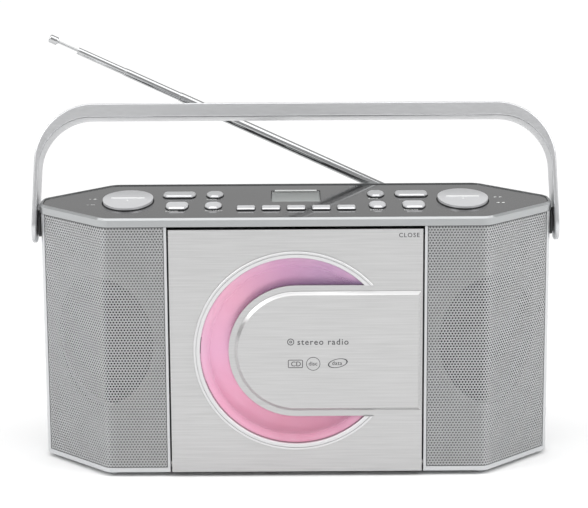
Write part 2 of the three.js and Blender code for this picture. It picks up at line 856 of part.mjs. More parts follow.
place('battery_cover', box(
  -bayHalf + coverGap, bayHalf - coverGap, shellBackY - wall, shellBackY,
  bayBottomZ + coverHingeGap, bayTopZ - coverGap,
), silver);

function mainsSocket() {
  const block = box(
    socketX - socketWidth / 2, socketX + socketWidth / 2, shellBackY - socketDepth, shellBackY,
    socketZ - socketHeight / 2, socketZ + socketHeight / 2,
  );
  const hollow = box(
    socketX - socketWidth / 2 + 3, socketX + socketWidth / 2 - 3, shellBackY - socketDepth + 3, shellBackY + 1,
    socketZ - socketHeight / 2 + 2.7, socketZ + socketHeight / 2 - 2.7,
  );
  let body = cut(block, hollow);
  for (const side of [-1, 1]) {
    body = join(body, barY(
      1.2, socketX + side * 4.3, socketZ, shellBackY - socketDepth + 2, shellBackY - 3, 12,
    ));
  }
  return body;
}

place('mains_socket', mainsSocket(), blackPlastic);
place('headphone_jack', cut(
  barY(jackRadius, socketX, jackZ, shellBackY - 14, shellBackY),
  barY(jackBore, socketX, jackZ, shellBackY - 11, shellBackY + 1, 12),
), blackPlastic);

// ---------- handle ----------

// Half of the handle's outline in its own plane: up the outside, over, and back down the inside.
function arc(centreX, centreZ, radius, from, to, steps) {
  const points = [];
  for (let i = 0; i <= steps; i += 1) {
    const angle = from + ((to - from) * i) / steps;
    points.push([centreX + radius * Math.cos(angle), centreZ + radius * Math.sin(angle)]);
  }
  return points;
}

function handle() {
  const foot = -handleDepth / 2 - 2;
  const lean = Math.tan(handleSplay);
  const outerLegTop = handleRise - handleOuterCorner;
  const innerTop = handleRise - handleBar;
  const innerLegTop = innerTop - handleInnerCorner;
  const outerX = (z) => handleOuterHalf - z * lean;
  const innerX = (z) => handleOuterHalf - handleLeg - z * lean;
  const outside = arc(
    outerX(outerLegTop) - handleOuterCorner, outerLegTop, handleOuterCorner, 0, Math.PI / 2, 9,
  );
  const inside = arc(
    innerX(innerLegTop) - handleInnerCorner, innerLegTop, handleInnerCorner, 0, Math.PI / 2, 9,
  );
  const rightHalf = [[innerX(foot), foot], [outerX(foot), foot], ...outside];
  const leftHalf = rightHalf.map(([x, z]) => [-x, z]).reverse();
  const under = [...inside.map(([x, z]) => [-x, z]), ...inside.slice().reverse()];
  const outline = [...rightHalf, ...leftHalf, ...under];
  const strap = slab(outline, -handleDepth / 2, handleDepth / 2);
  const reach = handleOuterHalf + 3;
  const kept = join(
    barX(handleDepth / 2, 0, 0, -reach, reach),
    box(-reach, reach, -handleDepth, handleDepth, 0, handleRise + 1),
  );
  return strap.intersect(kept);
}

const handleGroup = new THREE.Group();
handleGroup.position.set(0, midY, pivotZ);
handleGroup.rotation.x = -handleLean;
group.add(handleGroup);
place('handle', handle(), brushed, handleGroup);
for (const [hand, side] of [['left', -1], ['right', 1]]) {
  const sideX = halfWidth - cabinetInset;
  const legX = handleOuterHalf - handleLeg - hubRadius * Math.tan(handleSplay);
  const faces = [side * (sideX + clearance), side * (legX - clearance / 2)];
  const pinEnds = [side * (sideX - wall - 5), side * (sideX + 1)];
  const hub = barX(hubRadius, 0, 0, Math.min(...faces), Math.max(...faces));
  const pin = barX(hubPinRadius, 0, 0, Math.min(...pinEnds), Math.max(...pinEnds), 16);
  place(`handle_hub_${hand}`, join(hub, pin), blackPlastic, handleGroup);
}

// ---------- telescopic antenna ----------

// The antenna's own frame has its length along -X, its knuckle at the origin and its hinge along Z.
const antenna = new THREE.Group();
antenna.position.set(antennaPivotX, antennaY, antennaZ);
antenna.rotation.y = antennaSlope;
group.add(antenna);

function alongAntenna(profile) {
  const geometry = turned(profile, 12);
  geometry.rotateZ(Math.PI / 2);
  return solid(geometry);
}

const tongueHalf = 1.4;
const swivelFace = backY + clearance - antennaY;
const ears = join(
  box(-5, 4, swivelFace - 1, 3.4, tongueHalf + 0.3, tongueHalf + 1.9),
  box(-5, 4, swivelFace - 1, 3.4, -tongueHalf - 1.9, -tongueHalf - 0.3),
);
place('antenna_swivel', join(
  barY(swivelRadius, 0, 0, swivelFace - 8, swivelFace), ears,
), chrome, antenna);

tubeDiameters.forEach((diameter, i) => {
  const end = tubeEnds[i];
  const outer = diameter / 2;
  const next = i + 1 < tubeDiameters.length ? tubeDiameters[i + 1] / 2 : outer - tubeWall;
  const bore = next + tubeRun;
  if (i === 0) {
    const closed = knuckleReach + 3;
    const tube = alongAntenna([
      [0, knuckleReach], [outer, knuckleReach], [outer, end], [bore, end], [bore, closed], [0, closed],
    ]);
    const tongue = box(-knuckleReach - 1, 2.3, -2.5, 2.5, -tongueHalf, tongueHalf);
    place('antenna_base', join(tube, tongue), chrome, antenna);
    return;
  }
  const start = end - tubeInside[i];
  const last = i + 1 === tubeDiameters.length;
  const mouth = last ? rodDiameter / 2 + 0.2 : bore;
  const profile = [[bore, start], [outer, start], [outer, end], [mouth, end]];
  if (last) {
    profile.push([mouth, end - 1.5], [bore, end - 1.5]);
  }
  place(`antenna_tube_${i + 1}`, alongAntenna(profile), chrome, antenna);
});

const innermost = tubeDiameters[tubeDiameters.length - 1] / 2 - tubeWall;
const rodStart = rodEnd - rodLength;
const tipStart = rodEnd - tipLength;
place('antenna_rod', alongAntenna([
  [0, rodStart],
  [innermost - tubeRun, rodStart],
  [innermost - tubeRun, rodStart + 8],
  [rodDiameter / 2, rodStart + 8],
  [rodDiameter / 2, tipStart],
  [tipDiameter / 2, tipStart],
  [tipDiameter / 2, rodEnd - 1],
  [tipDiameter / 2 - 1, rodEnd],
  [0, rodEnd],
]), chrome, antenna);

export default group;
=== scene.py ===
# %% [markdown]
# A portable disc radio is mostly thin plastic shells with metal trim on them. The solid model of
# it is already made: every piece has its place, its size and its joint. This file gives each piece
# its surface. It loads the solid model as a fixed frame and builds finer pieces where the frame
# says they go, so nothing has to be fitted by eye.

# %% Open the frame
import json
from math import atan2, cos, degrees, pi, radians, sin, sqrt, tan

import bmesh
import bpy
from mathutils import Matrix, Vector

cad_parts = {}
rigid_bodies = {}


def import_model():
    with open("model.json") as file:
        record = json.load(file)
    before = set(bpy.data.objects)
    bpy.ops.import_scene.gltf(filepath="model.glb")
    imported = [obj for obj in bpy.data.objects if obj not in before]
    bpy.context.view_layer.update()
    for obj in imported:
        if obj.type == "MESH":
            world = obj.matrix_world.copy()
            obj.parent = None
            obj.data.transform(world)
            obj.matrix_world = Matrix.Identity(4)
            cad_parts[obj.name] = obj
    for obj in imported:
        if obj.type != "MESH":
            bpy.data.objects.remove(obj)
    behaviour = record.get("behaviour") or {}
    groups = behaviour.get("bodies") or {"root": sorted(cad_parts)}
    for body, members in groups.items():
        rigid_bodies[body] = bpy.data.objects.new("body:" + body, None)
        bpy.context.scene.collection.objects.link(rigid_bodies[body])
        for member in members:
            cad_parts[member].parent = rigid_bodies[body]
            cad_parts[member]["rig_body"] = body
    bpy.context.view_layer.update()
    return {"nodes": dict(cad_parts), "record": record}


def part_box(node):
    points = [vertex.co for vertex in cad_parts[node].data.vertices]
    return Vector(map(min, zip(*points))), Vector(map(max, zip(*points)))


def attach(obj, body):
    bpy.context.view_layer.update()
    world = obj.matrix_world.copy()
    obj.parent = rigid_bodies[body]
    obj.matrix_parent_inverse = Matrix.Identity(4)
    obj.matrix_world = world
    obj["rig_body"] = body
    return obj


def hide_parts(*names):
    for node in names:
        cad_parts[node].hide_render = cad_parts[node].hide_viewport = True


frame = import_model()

MM = 0.001
nodes = frame["nodes"]

# %% [markdown]
# The camera comes first, because it decides which details are seen most. A long lens from about a
# metre and a half away keeps the sides of the set nearly parallel. It stands a little above the set
# and looks down on the control panel at a shallow angle.

# %% Set up the camera
CAMERA_PLACE = Vector((-1.1, -1474.0, 486.5)) * MM
CAMERA_DROP = radians(13.34)
CAMERA_ROLL = radians(-0.34)
FOCAL_LENGTH = 138.1

lens = bpy.data.cameras.new("camera")
lens.lens = FOCAL_LENGTH
lens.clip_start = 0.05
camera = bpy.data.objects.new("camera", lens)
camera.matrix_world = (
    Matrix.Translation(CAMERA_PLACE)
    @ Matrix.Rotation(pi / 2 - CAMERA_DROP, 4, "X")
    @ Matrix.Rotation(CAMERA_ROLL, 4, "Z")
)
bpy.context.scene.collection.objects.link(camera)
bpy.context.scene.camera = camera
print("camera", round(camera.location.length, 3), "m from the set, lens", FOCAL_LENGTH, "mm")

# %% [markdown]
# A shader is easier to read as a formula than as a diagram. The small class below stands for one
# socket and lets Python's own signs build the Math nodes, so `1 - mask` is one node. It could be
# done with a call for each node, but then the formula would be lost among the calls.

# %% Wires
class Wire:
    """One output socket, which can stand in a Python expression."""

    def __init__(self, recipe, socket):
        self.recipe = recipe
        self.socket = socket

    def maths(self, operation, first, second):
        return self.recipe.node("ShaderNodeMath", {"operation": operation}, {0: first, 1: second})

    def __add__(self, other):
        return self.maths("ADD", self, other)

    def __radd__(self, other):
        return self.maths("ADD", other, self)

    def __sub__(self, other):
        return self.maths("SUBTRACT", self, other)

    def __rsub__(self, other):
        return self.maths("SUBTRACT", other, self)

    def __mul__(self, other):
        return self.maths("MULTIPLY", self, other)

    def __rmul__(self, other):
        return self.maths("MULTIPLY", other, self)

    def __truediv__(self, other):
        return self.maths("DIVIDE", self, other)

    def __pow__(self, other):
        return self.maths("POWER", self, other)

    def __gt__(self, other):
        return self.maths("GREATER_THAN", self, other)

    def __lt__(self, other):
        return self.maths("LESS_THAN", self, other)


print("a wire answers to", [name for name in vars(Wire) if callable(vars(Wire)[name])])

# %% [markdown]
# A recipe holds one material. Its one method for nodes takes a type, the settings and the inputs,
# which is enough for every kind of node. The few short methods after it are the ones that nearly
# every finish on this set needs: where a point is, noise of a known size, a blend and a bump.

# %% Recipes
class Recipe:
    """One material: its nodes, and the shader that they feed."""

    def __init__(self, name, color, **constants):
        self.name = name
        self.material = bpy.data.materials.new(name)
        self.material.use_nodes = True
        self.tree = self.material.node_tree
        self.shader = self.tree.nodes["Principled BSDF"]
        self.feed(self.shader, {"Base Color": color})
        self.feed(self.shader, {label.replace("_", " "): value for label, value in constants.items()})

    def feed(self, node, inputs):
        for label, value in inputs.items():
            socket = node.inputs[label]
            if isinstance(value, Wire):
                self.tree.links.new(value.socket, socket)
            elif isinstance(value, (tuple, list)) and len(value) == 3 and socket.type == "RGBA":
                socket.default_value = (*value, 1.0)
            else:
                socket.default_value = value

    def node(self, kind, settings=None, inputs=None, output=0):
        """Adds a node, sets it up, feeds its sockets and gives one of its outputs."""
        made = self.tree.nodes.new(kind)
        for label, value in (settings or {}).items():
            if label == "stops":
                while len(made.color_ramp.elements) < len(value):
                    made.color_ramp.elements.new(1.0)
                for element, (place, color) in zip(made.color_ramp.elements, value):
                    element.position = place
                    element.color = (*color, 1.0)
            else:
                setattr(made, label, value)
        self.feed(made, inputs or {})
        return Wire(self, made.outputs[output])

    def here(self, scale=(1, 1, 1), centre=(0, 0, 0)):
        """Where on the piece a point is, in metres from centre, times scale."""
        place = self.node("ShaderNodeTexCoord", output="Object")
        moved = self.node("ShaderNodeVectorMath", {"operation": "SUBTRACT"}, {0: place, 1: centre})
        return self.node("ShaderNodeVectorMath", {"operation": "MULTIPLY"}, {0: moved, 1: scale})

    def grain(self, size, scale=(1, 1, 1), detail=3.0):
        """Noise whose features are about size metres across."""
        return self.node(
            "ShaderNodeTexNoise", {}, {"Vector": self.here(scale), "Scale": 1 / size, "Detail": detail}
        )

    def mix(self, share, first, second):
        """A colour between two others."""
        return self.node("ShaderNodeMix", {"data_type": "RGBA"}, {0: share, 6: first, 7: second}, 2)

    def bump(self, height, depth, strength=1.0):
        """Raises the surface by height times depth metres."""
        return self.node(
            "ShaderNodeBump", {}, {"Height": height, "Distance": depth, "Strength": strength}
        )

    def shade(self, **varied):
        self.feed(self.shader, {label.replace("_", " "): value for label, value in varied.items()})
        return self


def tint(color, factor):
    return tuple(channel * factor for channel in color)


def list_finishes(*recipes):
    for recipe in recipes:
        print("finish", recipe.name, "with", len(recipe.tree.nodes), "nodes")


print("a tint of grey", tint((0.5, 0.5, 0.5), 0.9))

# %% [markdown]
# The shells are plastic sprayed with silver paint. Such paint holds fine aluminium flakes, so it is
# part metal and part colour, and it has a faint orange peel where the spray lay wet. Two sizes of
# noise make that: a very fine one for the flakes and a wider, shallow one for the peel.

# %% Sprayed silver paint
def silver_paint(name, color, roughness, metallic, peel=2.2 * MM):
    recipe = Recipe(name, color, Metallic=metallic, Coat_Weight=0.25, Coat_Roughness=0.12)
    flakes = recipe.grain(0.12 * MM, detail=1.0)
    clouds = recipe.grain(30 * MM)
    spray = recipe.grain(peel)
    share = flakes * 0.6 + clouds * 0.4
    return recipe.shade(
        Base_Color=recipe.mix(share, tint(color, 0.93), tint(color, 1.07)),
        Roughness=roughness + (flakes - 0.5) * 0.10 + (clouds - 0.5) * 0.06,
        Normal=recipe.bump(spray * 0.8 + flakes * 0.2, 0.012 * MM, 0.6),
    )


cabinet_silver = silver_paint("cabinet_silver", (0.59, 0.60, 0.61), 0.40, 0.60)
rim_silver = silver_paint("rim_silver", (0.37, 0.38, 0.385), 0.30, 0.80, 5 * MM)
bezel_silver = silver_paint("bezel_silver", (0.66, 0.66, 0.665), 0.42, 0.60)
key_silver = silver_paint("key_silver", (0.68, 0.685, 0.70), 0.36, 0.50)
list_finishes(cabinet_silver, rim_silver, bezel_silver, key_silver)

# %% [markdown]
# The door and the plate on it are aluminium sheet that a belt has brushed from side to side. The
# scratches are far longer than they are wide, so the noise is squeezed along X. They change the
# colour a little, the gloss more, and they catch the light as fine grooves. Anisotropy is the same
# all over, so it is set on the shader itself.

# %% Brushed aluminium
def brushed_metal(name, color, roughness, depth=0.010 * MM, along=0.004, contrast=0.26):
    recipe = Recipe(name, color, Metallic=0.92, Anisotropic=0.55)
    fine = recipe.grain(0.16 * MM, (along, 1, 1), detail=2.0)
    broad = recipe.grain(1.1 * MM, (along * 7, 1, 1), detail=3.0)
    wear = recipe.grain(28 * MM, (0.5, 1, 1), detail=2.0)
    scratch = fine * 0.35 + broad * 0.65
    return recipe.shade(
        Base_Color=recipe.mix(scratch, tint(color, 1 - contrast), tint(color, 1 + contrast)),
        Roughness=roughness + (scratch - 0.5) * 0.22 + (wear - 0.5) * 0.05,
        Normal=recipe.bump(scratch, depth, 0.5),
    )


door_brushed = brushed_metal("door_brushed", (0.50, 0.50, 0.50), 0.36)
plate_brushed = brushed_metal("plate_brushed", (0.50, 0.50, 0.50), 0.34)
handle_satin = brushed_metal("handle_satin", (0.60, 0.605, 0.615), 0.38, 0.004 * MM, 0.03, 0.06)
list_finishes(door_brushed, plate_brushed, handle_satin)

# %% [markdown]
# The control panel is black plastic with a polished surface. On a panel like that the colour hardly
# counts: at a shallow angle it shows what is behind it. Fine dust and hairline scratches in the
# roughness keep it from looking like a perfect mirror. The other plastics come from a mould with an
# eroded wall, so they are matt, and printing ink is close enough to them to share their function.

# %% Glossy and matt plastic
def gloss_black(name):
    recipe = Recipe(name, (0.010, 0.010, 0.011), IOR=1.5, Coat_Weight=0.4, Coat_Roughness=0.03)
    dust = recipe.grain(0.25 * MM, detail=2.0) > 0.69
    haze = recipe.grain(25 * MM)
    return recipe.shade(
        Base_Color=recipe.mix(dust * 0.35, (0.010, 0.010, 0.011), (0.10, 0.10, 0.10)),
        Roughness=0.11 + haze * 0.06 + dust * 0.2,
        Normal=recipe.bump(recipe.grain(9 * MM), 0.008 * MM, 0.3),
    )


def moulded_plastic(name, color, roughness=0.55, grain=0.5 * MM, depth=0.02 * MM):
    """Plastic from a mould with a fine eroded texture."""
    recipe = Recipe(name, color)
    texture = recipe.grain(grain, detail=4.0)
    clouds = recipe.grain(20 * MM)
    return recipe.shade(
        Base_Color=recipe.mix(clouds, tint(color, 0.88), tint(color, 1.12)),
        Roughness=roughness + (texture - 0.5) * 0.2,
        Normal=recipe.bump(texture, depth, 0.7),
    )


panel_gloss = gloss_black("panel_gloss")
mechanism_black = moulded_plastic("mechanism_black", (0.020, 0.020, 0.022))
gear_white = moulded_plastic("gear_white", (0.78, 0.77, 0.72), 0.45)
foot_rubber = moulded_plastic("foot_rubber", (0.45, 0.46, 0.47), 0.75, 0.3 * MM)
# The dark grey backing behind each grille and the black of its speaker openings are painted shade.
grille_backing_painted_shade = moulded_plastic("grille_backing_painted_shade", (0.21, 0.212, 0.215), 0.9, 0.25 * MM)
opening_painted_shade = moulded_plastic("opening_painted_shade", (0.012, 0.012, 0.013), 0.7)
label_grey = moulded_plastic("label_grey", (0.70, 0.71, 0.70), 0.5, 0.8 * MM, 0.01 * MM)
print_grey = moulded_plastic("print_grey", (0.055, 0.055, 0.06), 0.5)
print_white = moulded_plastic("print_white", (0.80, 0.81, 0.80), 0.6)
list_finishes(panel_gloss, mechanism_black, gear_white, foot_rubber, grille_backing_painted_shade, opening_painted_shade)
list_finishes(label_grey, print_grey, print_white)

# %% [markdown]
# Metal parts differ mostly in how they were made. Chrome on the antenna is nearly a mirror with a
# few smears, a pressed steel basket is dull and clouded, and a perforated sheet has silver lacquer
# on it. One function covers them: the colour, how rough, and how uneven that roughness is.

# %% Chrome, steel and lacquered sheet
def plain_metal(name, color, roughness, smear, metallic=1.0, grain=4 * MM):
    recipe = Recipe(name, color, Metallic=metallic)
    smears = recipe.grain(grain, detail=4.0)
    specks = recipe.grain(0.3 * MM, detail=1.0)
    return recipe.shade(
        Base_Color=recipe.mix(smears, tint(color, 0.92), tint(color, 1.05)),
        Roughness=roughness + (smears - 0.5) * smear + (specks - 0.5) * smear * 0.5,
        Normal=recipe.bump(specks, 0.003 * MM, 0.4),
    )


antenna_chrome = plain_metal("antenna_chrome", (0.50, 0.505, 0.51), 0.10, 0.08)
speaker_steel = plain_metal("speaker_steel", (0.05, 0.05, 0.052), 0.5, 0.2)
motor_steel = plain_metal("motor_steel", (0.62, 0.62, 0.62), 0.28, 0.15)
contact_steel = plain_metal("contact_steel", (0.72, 0.71, 0.68), 0.25, 0.15)
grille_metal = plain_metal("grille_metal", (0.57, 0.575, 0.58), 0.40, 0.10, 0.70, 12 * MM)
list_finishes(antenna_chrome, speaker_steel, motor_steel, contact_steel, grille_metal)

# %% [markdown]
# Inside are paper, laminate and iron. The cone is pressed paper with loose fibres, the circuit
# boards are green lacquer over a weave with copper tracks, and the transformer is a stack of iron
# sheets, which shows as fine stripes.

# %% Paper, boards and iron
def pressed_paper(name):
    recipe = Recipe(name, (0.03, 0.03, 0.032), Sheen_Weight=0.3)
    fibre = recipe.grain(0.5 * MM, (1, 1, 0.3), detail=5.0)
    return recipe.shade(
        Base_Color=recipe.mix(fibre, (0.018, 0.018, 0.020), (0.055, 0.055, 0.058)),
        Roughness=0.75 + fibre * 0.2,
        Normal=recipe.bump(fibre, 0.06 * MM, 0.8),
    )


def circuit_board(name):
    recipe = Recipe(name, (0.03, 0.16, 0.07), Coat_Weight=0.5, Coat_Roughness=0.15)
    tracks = recipe.node(
        "ShaderNodeTexBrick", {"offset": 0.37, "squash": 0.6},
        {"Vector": recipe.here(), "Scale": 1 / (9 * MM), "Mortar Size": 0.03}, "Fac",
    )
    weave = recipe.grain(0.4 * MM, detail=2.0)
    return recipe.shade(
        Base_Color=recipe.mix(tracks, (0.02, 0.13, 0.055), (0.07, 0.27, 0.12)),
        Roughness=0.35 + weave * 0.2,
        Normal=recipe.bump(tracks * 0.8 + weave * 0.2, 0.03 * MM, 0.6),
    )


def stacked_iron(name):
    recipe = Recipe(name, (0.34, 0.33, 0.32), Metallic=0.8)
    sheets = recipe.node(
        "ShaderNodeTexWave", {"bands_direction": "Y"},
        {"Vector": recipe.here(), "Scale": 1 / (6 * MM), "Distortion": 0.4, "Detail Scale": 40.0},
    )
    return recipe.shade(
        Base_Color=recipe.mix(sheets, (0.20, 0.19, 0.18), (0.42, 0.41, 0.40)),
        Roughness=0.45 + sheets * 0.2,
        Normal=recipe.bump(sheets, 0.08 * MM, 0.8),
    )


cone_paper = pressed_paper("cone_paper")
board_green = circuit_board("board_green")
transformer_iron = stacked_iron("transformer_iron")
list_finishes(cone_paper, board_green, transformer_iron)

# %% [markdown]
# The window is clear acrylic. Light and sight pass through it in straight lines, so it is drawn
# mostly transparent instead of as refracting glass, which would leave the disc behind it dark. Near
# its edges more of it is seen, which the Fresnel node gives without any help from the camera.

# %% Clear acrylic and the display
def clear_acrylic(name, color, least, most):
    recipe = Recipe(name, color, Coat_Weight=0.6, Coat_Roughness=0.02)
    rim_share = recipe.node("ShaderNodeFresnel", {}, {"IOR": 1.45})
    scuffs = recipe.grain(5 * MM, (1, 1, 0.4), detail=4.0)
    return recipe.shade(
        Base_Color=recipe.mix(scuffs, tint(color, 0.92), tint(color, 1.04)),
        Alpha=least + (most - least) * rim_share,
        Roughness=0.03 + scuffs * 0.05,
    )


def liquid_crystal(name):
    """A grey display glass with its faint row of unlit cells."""
    recipe = Recipe(name, (0.30, 0.33, 0.30), Coat_Weight=1.0, Coat_Roughness=0.04)
    cells = recipe.node(
        "ShaderNodeTexBrick", {"offset": 0.0},
        {
            "Vector": recipe.here(), "Scale": 1 / (4.6 * MM),
            "Mortar Size": 0.06, "Brick Width": 0.75, "Row Height": 1.3,
        }, "Fac",
    )
    clouds = recipe.grain(14 * MM)
    return recipe.shade(
        Base_Color=recipe.mix(cells, (0.27, 0.30, 0.27), (0.33, 0.37, 0.33)),
        Roughness=0.25 + clouds * 0.15,
    )


display_clear = clear_acrylic("display_clear", (0.50, 0.53, 0.52), 0.30, 0.95)
display_body = liquid_crystal("display_body")
list_finishes(display_clear, display_body)

# %% [markdown]
# A disc splits light into colours, and under coloured lamps it looks pink on one side and violet on
# the other. Here that fan of light is painted into the colour as a painted reflection. The colour
# follows the angle round the hub, because the grooves of a disc run round it too, so a light always
# shows as a fan. The foil also glows a little, which is painted light. The grooves also make very fine
# rings.

# %% The disc's foil
disc_low, disc_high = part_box("compact_disc")
disc_radius = disc_high.x
disc_z = (disc_low.z + disc_high.z) / 2


def fan_of_light(recipe, up, across):
    """The colour that the grooves give at each angle round the hub, as a painted reflection."""
    turn = up.maths("ARCTAN2", up, across) / (2 * pi) + 0.5
    return recipe.node("ShaderNodeValToRGB", {"stops": [
        (0.00, (0.80, 0.43, 0.62)), (0.10, (0.80, 0.36, 0.52)), (0.22, (0.66, 0.26, 0.38)),
        (0.30, (0.64, 0.25, 0.37)), (0.60, (0.44, 0.24, 0.44)), (0.70, (0.44, 0.24, 0.44)),
        (0.78, (0.58, 0.28, 0.48)), (0.88, (0.78, 0.38, 0.52)), (1.00, (0.80, 0.43, 0.62)),
    ]}, {0: turn})


def from_hub(recipe):
    """Up and across from the hub's middle, in metres, and the place itself."""
    place = recipe.here(centre=(0, 0, disc_z))
    across = recipe.node("ShaderNodeSeparateXYZ", {}, {0: place}, "X")
    up = Wire(recipe, across.socket.node.outputs["Z"])
    return up, across, place


def rainbow_foil(name, painted_glow):
    # The fan is a painted reflection, and the emission is a painted glow.
    recipe = Recipe(name, (0.85, 0.55, 0.70), Metallic=0.55, Coat_Weight=1.0, Coat_Roughness=0.03,
                    Emission_Strength=painted_glow)
    up, across, place = from_hub(recipe)
    radius = (across * across + up * up) ** 0.5
    fan = fan_of_light(recipe, up, across)
    rings = recipe.node(
        "ShaderNodeTexWave", {"wave_type": "RINGS", "rings_direction": "Y"},
        {"Vector": place, "Scale": 1 / (3 * MM), "Distortion": 0.0},
    )
    hub = radius < 22 * MM
    edge = radius > disc_radius - 1.5 * MM
    coated = recipe.mix(rings * 0.25, fan, (0.95, 0.80, 0.90))
    return recipe.shade(
        Base_Color=recipe.mix(hub * 0.75 + edge * 0.4, coated, (0.80, 0.80, 0.84)),
        Emission_Color=coated,
        Roughness=0.20 + rings * 0.06,
        Normal=recipe.bump(rings, 0.004 * MM, 0.3),
    )


# The disc and the bowl glow though they are no lamps: painted light.
disc_foil = rainbow_foil("disc_foil", 0.26)
bowl_painted_reflection = rainbow_foil("bowl_painted_reflection", 0.45)
list_finishes(disc_foil, bowl_painted_reflection)

# %% [markdown]
# The window's acrylic carries the disc's fan of colours, a painted reflection, and glows a little, which
# is painted light. It is denser along the outer edge, where it hides the mechanism, and next to the
# upper side of the plate it is darkened by a painted shadow of the plate. WINDOW_CORE is half the height
# of the solid core that the window bends round.

# %% The window's film
WINDOW_CORE = 44.2 * MM

window_clear = clear_acrylic("window_clear", (0.95, 0.90, 0.93), 0.28, 0.80)
window_up, window_across, _ = from_hub(window_clear)
painted_fan = fan_of_light(window_clear, window_up, window_across)
outermost = window_clear.node("ShaderNodeMapRange", {}, {
    "Value": (window_up * window_up + window_across * window_across) ** 0.5,
    "From Min": disc_radius - 4 * MM, "From Max": disc_radius + 1 * MM, "To Max": 0.55})
window_painted_light = window_clear.mix(window_clear.grain(14 * MM) * 0.5, painted_fan, (0.86, 0.55, 0.70))
# A painted shadow: the window darkens towards the upper side of the plate.
beyond_tongue = (
    window_across.maths("MINIMUM", window_across, 0.0) ** 2 + window_up * window_up
) ** 0.5 - WINDOW_CORE
plate_painted_shadow = window_clear.node("ShaderNodeMapRange", {"interpolation_type": "SMOOTHSTEP"}, {
    "Value": beyond_tongue, "From Min": 6 * MM, "From Max": -1 * MM}) * window_clear.node(
    "ShaderNodeMapRange", {}, {"Value": window_up, "From Min": -5 * MM, "From Max": 40 * MM})
window_painted_light = window_clear.mix(plate_painted_shadow, window_painted_light, (0.10, 0.05, 0.15))
plain_alpha = Wire(window_clear, window_clear.shader.inputs["Alpha"].links[0].from_socket)
window_clear.shade(Base_Color=window_painted_light, Emission_Color=window_painted_light, Alpha=outermost + plain_alpha)
# The window glows a little: painted light.
window_clear.shade(Emission_Strength=0.14)
lens_glass = plain_metal("lens_glass", (0.16, 0.24, 0.46), 0.05, 0.03, 0.4)
list_finishes(window_clear, lens_glass)

# %% [markdown]
# New pieces start from a few points. The helpers below are the everyday moves: a flat outline whose
# corners are rounded by a bevel, a slab made by pushing it out, and a profile that is turned. Each
# is a bmesh operator or two, so the shape stays easy to change.

# %% Everyday moves
EXACT = 0.001 * MM


def tagged_verts(result):
    return [item for item in result["geom"] if isinstance(item, bmesh.types.BMVert)]


def soften(bm, edges, width, steps=2):
    bmesh.ops.bevel(
        bm, geom=edges, offset=width, offset_type="OFFSET", segments=steps, profile=0.5,
        affect="EDGES", material=-1, clamp_overlap=True,
    )


def round_corners(bm, corners, reach, steps):
    """Rounds corners of a flat outline. Reach is how far along its sides each round begins."""
    bmesh.ops.bevel(
        bm, geom=corners, offset=reach, offset_type="OFFSET", segments=steps, profile=0.5,
        affect="VERTICES", material=-1,
    )
    bmesh.ops.remove_doubles(bm, verts=bm.verts, dist=EXACT)


def slab(corners, push, rounds=(), edge=0.0, edge_steps=3):
    """A flat outline pushed out along a vector, its far edge softened. Each entry of rounds is
    (which corners, how far along the sides the round begins, its steps)."""
    bm = bmesh.new()
    verts = [bm.verts.new(corner) for corner in corners]
    bm.faces.new(verts)
    for which, reach, steps in rounds:
        round_corners(bm, [verts[index] for index in which], reach, steps)
    pushed = bmesh.ops.extrude_face_region(bm, geom=bm.faces[:])
    bmesh.ops.translate(bm, verts=tagged_verts(pushed), vec=push)
    if edge:
        far = [item for item in pushed["geom"] if isinstance(item, bmesh.types.BMFace)]
        soften(bm, far[0].edges[:], edge, edge_steps)
    return bm


def turned(profile, place=Matrix(), steps=48):
    """A profile of (radius, height) turned about Z, then put in its place."""
    bm = bmesh.new()
    verts = [bm.verts.new((radius, 0, height)) for radius, height in profile]
    edges = [bm.edges.new(pair) for pair in zip(verts, verts[1:])]
    bmesh.ops.spin(
        bm, geom=verts + edges, cent=(0, 0, 0), axis=(0, 0, 1), angle=2 * pi, steps=steps,
        use_merge=True,
    )
    bmesh.ops.remove_doubles(bm, verts=bm.verts, dist=EXACT)
    bmesh.ops.transform(bm, matrix=place, verts=bm.verts)
    return bm


def joined(parts):
    """Several shapes in one mesh."""
    whole = bmesh.new()
    for part in parts:
        carrier = bpy.data.meshes.new("carrier")
        part.to_mesh(carrier)
        part.free()
        whole.from_mesh(carrier)
        bpy.data.meshes.remove(carrier)
    return whole


plain_block = slab([(0, 0, 0), (1, 0, 0), (1, 1, 0), (0, 1, 0)], (0, 0, 1))
print("a plain block has", len(plain_block.faces), "faces")
plain_block.free()

# %% [markdown]
# A shape becomes a piece when it is told which body it rides on, which material it takes and
# which solid it stands for. Many pieces only need their solid again with its edges softened, so a
# solid can be copied, its triangles merged into whole faces, and its sharp edges bevelled.

# %% From shape to piece
def frame_copy(node):
    """A node's mesh with its loose triangles merged into whole faces."""
    bm = bmesh.new()
    bm.from_mesh(nodes[node].data)
    bmesh.ops.remove_doubles(bm, verts=bm.verts, dist=0.002 * MM)
    bmesh.ops.dissolve_limit(bm, angle_limit=radians(0.6), verts=bm.verts, edges=bm.edges)
    return bm


def sharp_edges(bm, least=40, most=181):
    """The outward edges whose faces turn by between two angles."""
    return [
        edge for edge in bm.edges
        if len(edge.link_faces) == 2 and edge.is_convex
        and least < degrees(edge.calc_face_angle()) < most
    ]


